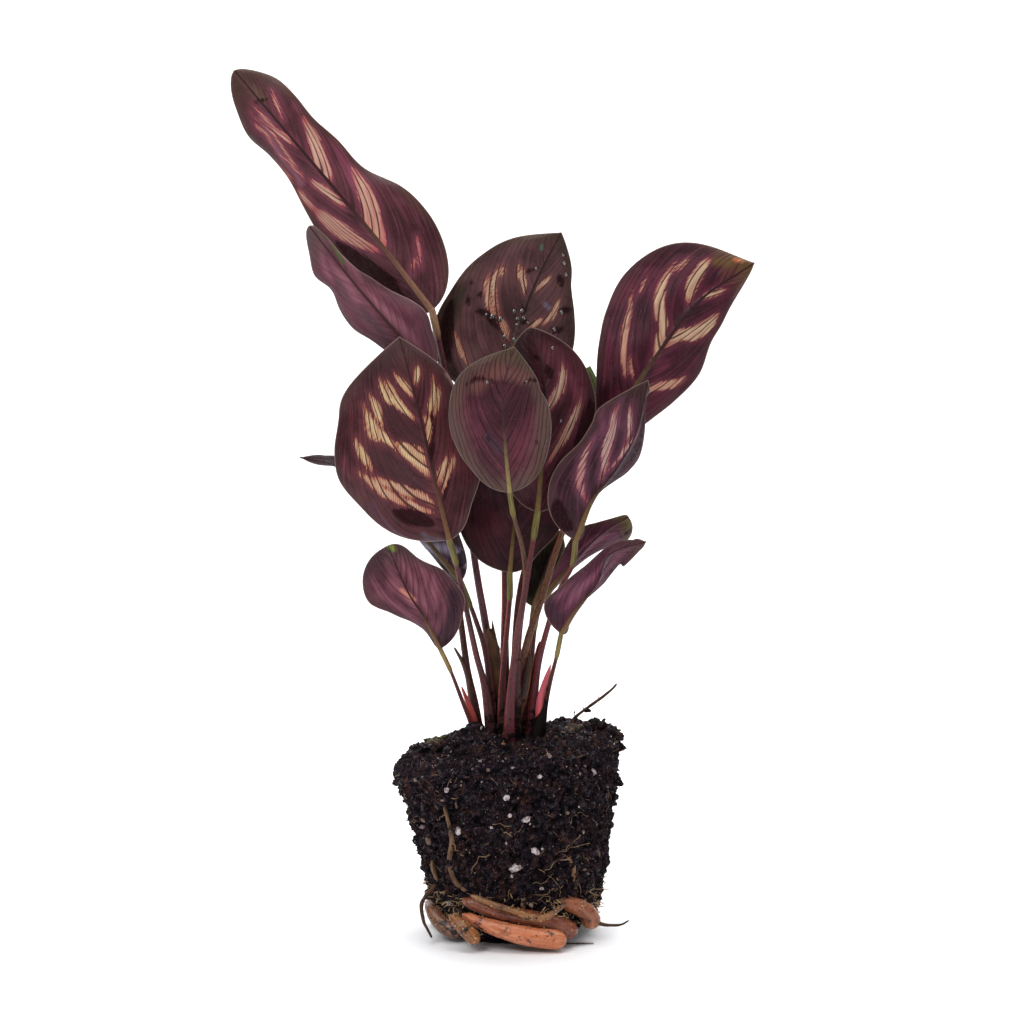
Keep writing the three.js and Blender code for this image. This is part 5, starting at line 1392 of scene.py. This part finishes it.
def scatter_lumps(shape, centres, sizes, base, flat, rough, tints=None):
    """Small uneven lumps of given sizes at given places."""
    points, faces = base
    for k, (centre, size) in enumerate(zip(centres, sizes)):
        axes = np.linalg.qr(rng.normal(size=(3, 3)))[0]
        spread = size * np.array([1.0, rng.uniform(flat, 1.0), rng.uniform(flat * 0.7, 0.9)])
        uneven = 1 + rough * rng.uniform(-1, 1, len(points))
        placed = centre + (points * uneven[:, None] * spread) @ axes
        shape.add(placed, faces, tint=rng.random() if tints is None else tints[k])


# Roots

def root_paint(name, dark, body, light, gloss=(0.2, 0.42), patch_scale=60.0, shine=0.45, clean=0.55):
    """Skin of a root: patches, fine lengthwise streaks, a few rings, dark dots and earth."""
    paint = Paint(name)
    place = paint.place
    fine = place.grain(700.0, 4.0, 0.6)
    circles = paint.rolled(1.1).grain(1.5, 3.0, 0.6)
    colour = place.grain(patch_scale, 4.0, 0.6).step(0.34, 0.64).blend(dark, body)
    colour = colour.coat(paint.rolled(0.05).grain(3.0, 4.0, 0.6).step(0.45, 0.7, 0.0, 0.7), light)
    colour = colour.coat(circles.step(0.4, 0.28, 0.0, 0.3), dark)
    colour = colour.coat(place.cells(330.0).step(0.2, 0.08, 0.0, 0.8), (52, 28, 20))
    earth = place.grain(150.0, 5.0, 0.7).step(clean, clean + 0.09)
    colour = colour.coat(earth, (26, 17, 15))
    return paint.finish(colour, fine.step(0.3, 0.7, *gloss), circles * 0.5 + fine * 0.35, 0.35, 0.8, shine)


def fibre_paint():
    """Fine roots from dark brown to straw, by the tint of each."""
    paint = Paint("fine_root_skin")
    tint = paint.value("tint")
    worn = paint.place.grain(400.0, 4.0)
    colour = tint.step(0.0, 0.5).blend((66, 46, 36), (128, 102, 78))
    colour = colour.coat(tint.step(0.5, 1.0), (192, 164, 122))
    colour = colour.coat(worn.step(0.5, 0.68, 0.0, 0.7), (60, 38, 28))
    return paint.finish(colour, worn.step(0.3, 0.7, 0.5, 0.75), worn, 0.1, 1.0, 0.25)


ball, ball_out, ball_hollow_shade = soil_skin()
rng = np.random.default_rng(7)


def wall_spot(x, z):
    """A place just off the ball's front skin nearest to x and z, and the way out there."""
    miss = np.where(ball[..., 1] < 0, (ball[..., 0] - x) ** 2 + (ball[..., 2] - z) ** 2, 1e9)
    row, column = np.unravel_index(np.argmin(miss), miss.shape)
    return ball[row, column], ball_out[row, column]


def wall_base(x, z):
    """A place off the solid ball's front wall, which its roots follow."""
    share = (z - float(slope_at(x, z)) - BASE_HEIGHT) / (RIM_HEIGHT - BASE_HEIGHT)
    radius = BASE_RADIUS + (RIM_RADIUS - BASE_RADIUS) * share + WALL_LIFT
    return [x, -math.sqrt(radius ** 2 - (x - float(lean_at(z))) ** 2), z]


# Leaves and stalks
upper = upper_paint("leaf", (30, 38, 24), (62, 74, 44), (104, 114, 70))
# painted shade: the curled leaf's upper side is a dark brown copy of the green one, green only in a strip
# near its edge
painted_shade_upper = upper_paint("curled_leaf", (26, 14, 12), (48, 26, 20), (46, 66, 32))
rim = rim_paint()
water = water_paint()
for name, row in LEAVES.items():
    leaf = SimpleNamespace(**{**PLAIN_LEAF, **row, "name": name})
    leaf.stalk = [[*row["stalk"][0], STALK_FOOT_Z], *row["stalk"][1:]]
    look = SimpleNamespace(**{**COMMON, "tip": LOOKS[name]["margin"], **LOOKS[name]})
    under = blade_paint(name, look)
    blade_piece(leaf, under, painted_shade_upper if name == "curled_left" else upper, rim, water)
    stalk_piece(leaf, stalk_paint(name, STALK_LOOKS.get(name, {})))


def dry_piece():
    """The papery bract: a folded sleeve with long creases and a torn top."""
    count, sides = 60, 36
    points, turn, reach = tube(*DRY_SHEATH, count, sides, (True, False), 0.25, 5)
    centre = points.mean(axis=1, keepdims=True)
    angle = 2 * np.pi * np.arange(sides) / sides
    creases = 1 + 0.09 * np.sin(5 * angle + 1.0) + 0.05 * np.sin(11 * angle)
    points = centre + (points - centre) * creases[None, :, None]
    torn = 2.5 * np.sin(3 * angle + 0.6) + 1.6 * np.sin(7 * angle)
    points[..., 2] += torn[None, :] * soft_step(end_steps(count), 0.8, 1.0)[:, None]
    shape = Shape()
    shape.add_tube(points, turn=turn, reach=reach)
    paint = Paint("dry_sheath_skin")
    along = paint.value("reach")
    lines = (paint.value("turn") * 30.0 + along * 0.6).ridges(0.5).step(0.0, 0.4)
    patches = paint.place.grain(130.0, 4.0)
    colour = patches.step(0.35, 0.65).blend((34, 20, 16), (84, 56, 38)).coat(lines * 0.4, (128, 92, 60))
    colour = colour.coat((along + patches * 14.0).step(44.0, 20.0), (26, 15, 15))
    roughness = patches.step(0.3, 0.7, 0.45, 0.75)
    skin = paint.finish(colour, roughness, lines, 0.25, 0.9, paint.sheen(0.3, 0.05))
    shape.piece("dry_sheath_bract", [skin], "dry", "dry_sheath")


dry_piece()

# The soil: its skin, loose crumbs and pale grains on it
skin = Shape()
skin.add(ball, grid_faces(*ball.shape[:2], wrap=True), sunk=ball_hollow_shade.ravel())
skin.piece("soil_skin", [soil_paint("soil_skin", (7, 5, 9), (60, 46, 56), (150, 124, 116))], "soil", "soil")
small_lump = lump_shape()
round_lump = finer(*small_lump)
fine_lump = finer(*round_lump)
grown = np.argwhere(ball[..., 2] > 9)


def spots_on_ball(count, low=9.0, high=200.0):
    """Places spread over the ball's skin, and the way out at each."""
    found = []
    while len(found) < count:
        row, column = grown[rng.integers(len(grown))]
        point = ball[row, column]
        if low < point[2] < high and rng.random() < math.hypot(point[0], point[1]) / RIM_RADIUS:
            found.append((point, ball_out[row, column]))
    return found


crumbs = Shape()
sizes = list(0.35 + 1.9 * rng.random(CRUMBS) ** 3.0)
places = [point - out * 0.15 * size for (point, out), size in zip(spots_on_ball(CRUMBS), sizes)]
for row in LEAVES.values():
    x, y = row["stalk"][0]
    for k in range(CRUMBS_AT_FOOT):
        angle = rng.uniform(0, 2 * math.pi)
        away = rng.uniform(1.5, 4.5)
        sizes.append(rng.uniform(0.35, 1.1))
        level = CROWN_HEIGHT - 1.5 + slope_at(x, 90.0) + rng.random() ** 2 * 9
        places.append(np.array([x + away * math.cos(angle), y + away * math.sin(angle), level]))
scatter_lumps(crumbs, places, sizes, small_lump, 0.6, 0.3)
crumbs.piece("soil_crumbs", [soil_paint("crumb", (9, 6, 10), (80, 60, 68), (168, 140, 124))], "soil")

for name, table, rough, colours in (
    ("soil_clods", CLODS, 0.55, ((8, 6, 8), (70, 54, 56), (150, 128, 112))),
    ("soil_pale_clods", PALE_CLODS, 0.6, ((60, 50, 44), (152, 138, 122), (206, 194, 180))),
    ("soil_tan_chips", TAN_CHIPS, 0.7, ((120, 80, 50), (206, 156, 118), (232, 190, 150))),
    ("soil_moss", MOSS, 0.8, ((50, 52, 30), (112, 112, 72), (156, 156, 110))),
):
    clods = Shape()
    for x, y, z, size, flat in table:
        points, faces = fine_lump
        seat = Vector((x, z, y))
        bumpy = [1 + rough * noise.fractal(Vector(p * 1.2) + seat, 0.9, 2.1, 4) for p in points]
        spread = size * np.array([1.0, 0.9, flat])
        clods.add(np.array([x, y, z]) + points * np.array(bumpy)[:, None] * spread, faces)
    clods.piece(name, [soil_paint(f"{name}_skin", *colours)], "soil")

grains = Shape()
sizes = 0.2 + 0.62 * rng.random(SMALL_GRAINS) ** 3.0
places = [point + out * 0.2 * size for (point, out), size in zip(spots_on_ball(SMALL_GRAINS), sizes)]
tints = 0.25 + 0.75 * rng.random(SMALL_GRAINS) ** 0.6
scatter_lumps(grains, places, sizes, round_lump, 0.45, 0.5, tints)
places = [point + out * 0.4 for point, out in spots_on_ball(TOP_GRAINS, 74, 120)]
sizes = 0.16 + 0.4 * rng.random(TOP_GRAINS) ** 2
scatter_lumps(grains, places, sizes, small_lump, 0.45, 0.5)
for x, z, width, height in GRAINS:
    spot, out = wall_spot(x, z)
    points, faces = fine_lump
    seat = Vector((x, z, 0))
    coarse, fine = (np.array([noise.noise(Vector(p * pace) + seat) for p in points]) for pace in (1.6, 4.2))
    axes = unit(np.array([[1.0, 0, 0] - out * out[0], [0, 0, 1.0] - out * out[2], out]))
    spread = np.array([width / 2, height / 2, 0.8 + 0.2 * min(width, height)])
    points = points * (1 + 0.5 * coarse + 0.3 * fine)[:, None] * spread
    placed = spot + 0.5 * out + points @ axes
    grains.add(placed, faces, tint=rng.random())


def grain_paint():
    paint = Paint("pale_grain")
    tint = paint.value("tint")
    patches = paint.place.grain(500.0, 4.0)
    colour = tint.step(0.4, 0.75).blend((196, 184, 186), (140, 114, 96))
    colour = colour.coat(tint.step(0.8, 1.0), (104, 80, 66))
    colour = colour.coat(patches.step(0.42, 0.58, 0.0, 0.85), (106, 86, 78))
    return paint.finish(colour, patches.step(0.3, 0.7, 0.6, 0.9), patches + paint.place.cells(1500.0), 0.3)


grains.piece("soil_grains", [grain_paint()], "soil")


# Storage roots and thin roots
def root_piece(name, path, radii, node, sides, paint, slot, uneven):
    seed = sum(map(ord, name))
    points, turn, reach = tube(path, radii, ROOT_RINGS, sides, uneven=uneven, seed=seed)
    points[..., 2] = np.maximum(points[..., 2], 0.0)
    shape = Shape()
    shape.add_tube(points, turn=turn, reach=reach)
    shape.piece(name, [paint], slot, node)


for name, (path, radii, colours) in TUBERS.items():
    paint = root_paint(f"tuber_{name}_skin", *colours, clean=0.52 if name.startswith("left") else 0.55)
    root_piece(f"storage_root_{name}", path, radii, f"tuber_{name}", 28, paint, "tuber", 0.07)
thin = root_paint("thin_root_skin", (66, 44, 32), (112, 82, 60), (148, 114, 84), (0.5, 0.8), 120.0, 0.2)
woody = root_paint("dark_root_skin", (38, 24, 20), (72, 48, 38), (112, 82, 62), (0.5, 0.8), 120.0, 0.2)
for name, (path, radii) in ROOTS.items():
    on_wall = len(path[0]) == 2
    path = [wall_base(x, z) for x, z in path] if on_wall else path
    skin = thin if on_wall else woody
    root_piece(f"thin_root_{name}", path, radii, f"root_{name}", 12, skin, "root", 0.3)
fibres = Shape()


def fibre(path, thick, tint, sides, count):
    points = tube(path, [thick, thick * 0.85, thick * 0.5], count, sides)[0]
    points[..., 2] = np.maximum(points[..., 2], 0.0)
    fibres.add_tube(points, tint=tint)


for thick, *line in FINE_ROOTS:
    path = []
    for x, z in smooth(line, np.linspace(0, 1, 3 + 2 * len(line))):
        spot, out = wall_spot(x, z)
        path.append(spot + 0.6 * out + rng.normal(size=3) * 0.25)
    fibre(path, thick * 0.58, 0.3 + 0.35 * rng.random(), 6, 22)
for point, out in spots_on_ball(LOOSE_FIBRES, 12, 92):
    sideways = unit(np.cross(out, rng.normal(size=3)))
    reach = rng.uniform(1.5, 6.5)
    bend = rng.normal(size=3) * 0.5
    middle = point + sideways * reach * 0.5 + out * rng.uniform(0.1, 0.9) + bend
    end = point + sideways * reach + out * rng.uniform(-0.4, 1.2) + bend
    fibre([point - out * 0.5, middle, end], rng.uniform(0.08, 0.2), 0.7 * rng.random(), 4, 6)


def bristles(spots, longest, thickest):
    """Short stiff root hairs, some forked, at the given places."""
    for point, out in spots:
        away = unit(out + rng.normal(size=3) * 0.9 + np.array([0, -0.3, 0]))
        reach = rng.uniform(0.3, 1.0) * longest
        tint = 0.45 + 0.55 * rng.random()
        thick = rng.uniform(0.5, 1.0) * thickest
        middle = point + away * reach * 0.5 + rng.normal(size=3) * 0.25
        fibre([point - out * 0.4, middle, point + away * reach], thick, tint, 4, 5)
        if rng.random() < 0.35:
            side = unit(away + rng.normal(size=3) * 0.8)
            fibre([middle, middle + side * reach * 0.5], thick * 0.8, tint, 4, 4)


bristles(spots_on_ball(BRISTLES, 9.2, 24), 4.6, 0.34)
nubs = Shape()
for name, (path, radii, colours) in TUBERS.items():
    at = rng.uniform(0.02, 0.93, TUBER_SPOTS)
    spots = []
    for centre, way, radius in zip(smooth(path, at), direction(path, at), run(radii, at)):
        out = unit(np.cross(way, rng.normal(size=3)))
        out = -out if out[1] > 0.3 else out
        if centre[2] + radius * out[2] > 0.6:
            spots.append((centre + out * radius * 0.97, out))
    hairs = FEW_HAIRS if name == "front_long" else HAIRS
    bristles([spot for spot in spots if spot[1][2] > -0.2][:hairs], 2.2, 0.24)
    marked = [point for point, out in spots[-NUBS:]]
    tints = rng.random(len(marked))
    sizes = 0.16 + 0.34 * rng.random(len(marked))
    scatter_lumps(nubs, marked, sizes, round_lump, 0.6, 0.2, tints)
paint = Paint("root_nub")
grit = paint.place.grain(900.0)
colour = paint.value("tint").step(0.55, 0.6).blend((34, 20, 17), (214, 178, 132))
colour = colour.coat(grit.step(0.4, 0.7, 0.0, 0.5), (110, 72, 48))
nubs.piece("root_nubs", [paint.finish(colour, grit.step(0.3, 0.7, 0.4, 0.6), grit, 0.1)], "root")

for thick, path in TWIG_HOOKS:
    fibre(path, thick, 0.05, 6, 8)
fibres.piece("fine_roots", [fibre_paint()], "root")

# Floor and backdrop in one bent sheet, in metres
HALF_WIDTH, RUN_BACK, RISE, BEND_RADIUS, BEND_STEPS = 3.0, 1.6, 3.0, 1.0, 16
FLOOR_DROP = 0.0002
profile = [(-4.0, 0.0), (RUN_BACK, 0.0)]
for k in range(1, BEND_STEPS + 1):
    angle = math.pi / 2 * k / BEND_STEPS
    profile.append((RUN_BACK + BEND_RADIUS * math.sin(angle), BEND_RADIUS * (1 - math.cos(angle))))
profile.append((RUN_BACK + BEND_RADIUS, RISE))
sheet = bpy.data.meshes.new("backdrop")
corners = [(x, y, z - FLOOR_DROP) for y, z in profile for x in (-HALF_WIDTH, HALF_WIDTH)]
sheet.from_pydata(corners, [], grid_faces(len(profile), 2).tolist())
sheet.shade_smooth()
backdrop = placed_object("backdrop", sheet)
paper = Paint("backdrop_paper")
tooth = paper.place.grain(900.0, 2.0)
shade = tooth.step(0.3, 0.7).blend((246, 246, 248), (250, 250, 252))
sheet.materials.append(paper.finish(shade, tooth.step(0.3, 0.7, 0.8, 0.9), tooth, 0.02))

# Light and camera, in metres and watts
LAMPS = {
    "key": ((-0.9, -1.5, 1.5), (0, 0, 0.22), 0.9, 20),
    "fill": ((1.5, -1.4, 0.8), (0, 0, 0.2), 1.2, 5),
    "top": ((0.0, 0.1, 2.0), (0, 0.1, 0), 2.0, 34),
    "wall": ((0, 0.9, 2.4), (0, 2.6, 0.5), 2.0, 70),
}
SKY_STRENGTH = 0.22
CAMERA_PLACE = (0, -1.4943, 0.3282)
FOCAL_LENGTH = 113.4
SENSOR_WIDTH = 36
scene = bpy.context.scene
scene.view_settings.view_transform = "Standard"
scene.world = bpy.data.worlds.new("studio")
scene.world.use_nodes = True
sky = scene.world.node_tree.nodes["Background"]
sky.inputs["Color"].default_value = (1.0, 1.0, 1.0, 1)
sky.inputs["Strength"].default_value = SKY_STRENGTH
for name, (place, aim, size, power) in LAMPS.items():
    lamp = bpy.data.lights.new(name, "AREA")
    lamp.size = size
    lamp.energy = power
    light = placed_object(name, lamp)
    light.location = place
    light.rotation_euler = (Vector(aim) - Vector(place)).to_track_quat("-Z", "Y").to_euler()

lens = bpy.data.cameras.new("camera")
lens.sensor_width = SENSOR_WIDTH
lens.lens = FOCAL_LENGTH
camera = placed_object("camera", lens)
camera.location = CAMERA_PLACE
camera.rotation_euler = (math.pi / 2 - LOOK_DOWN, 0, 0)
scene.camera = camera
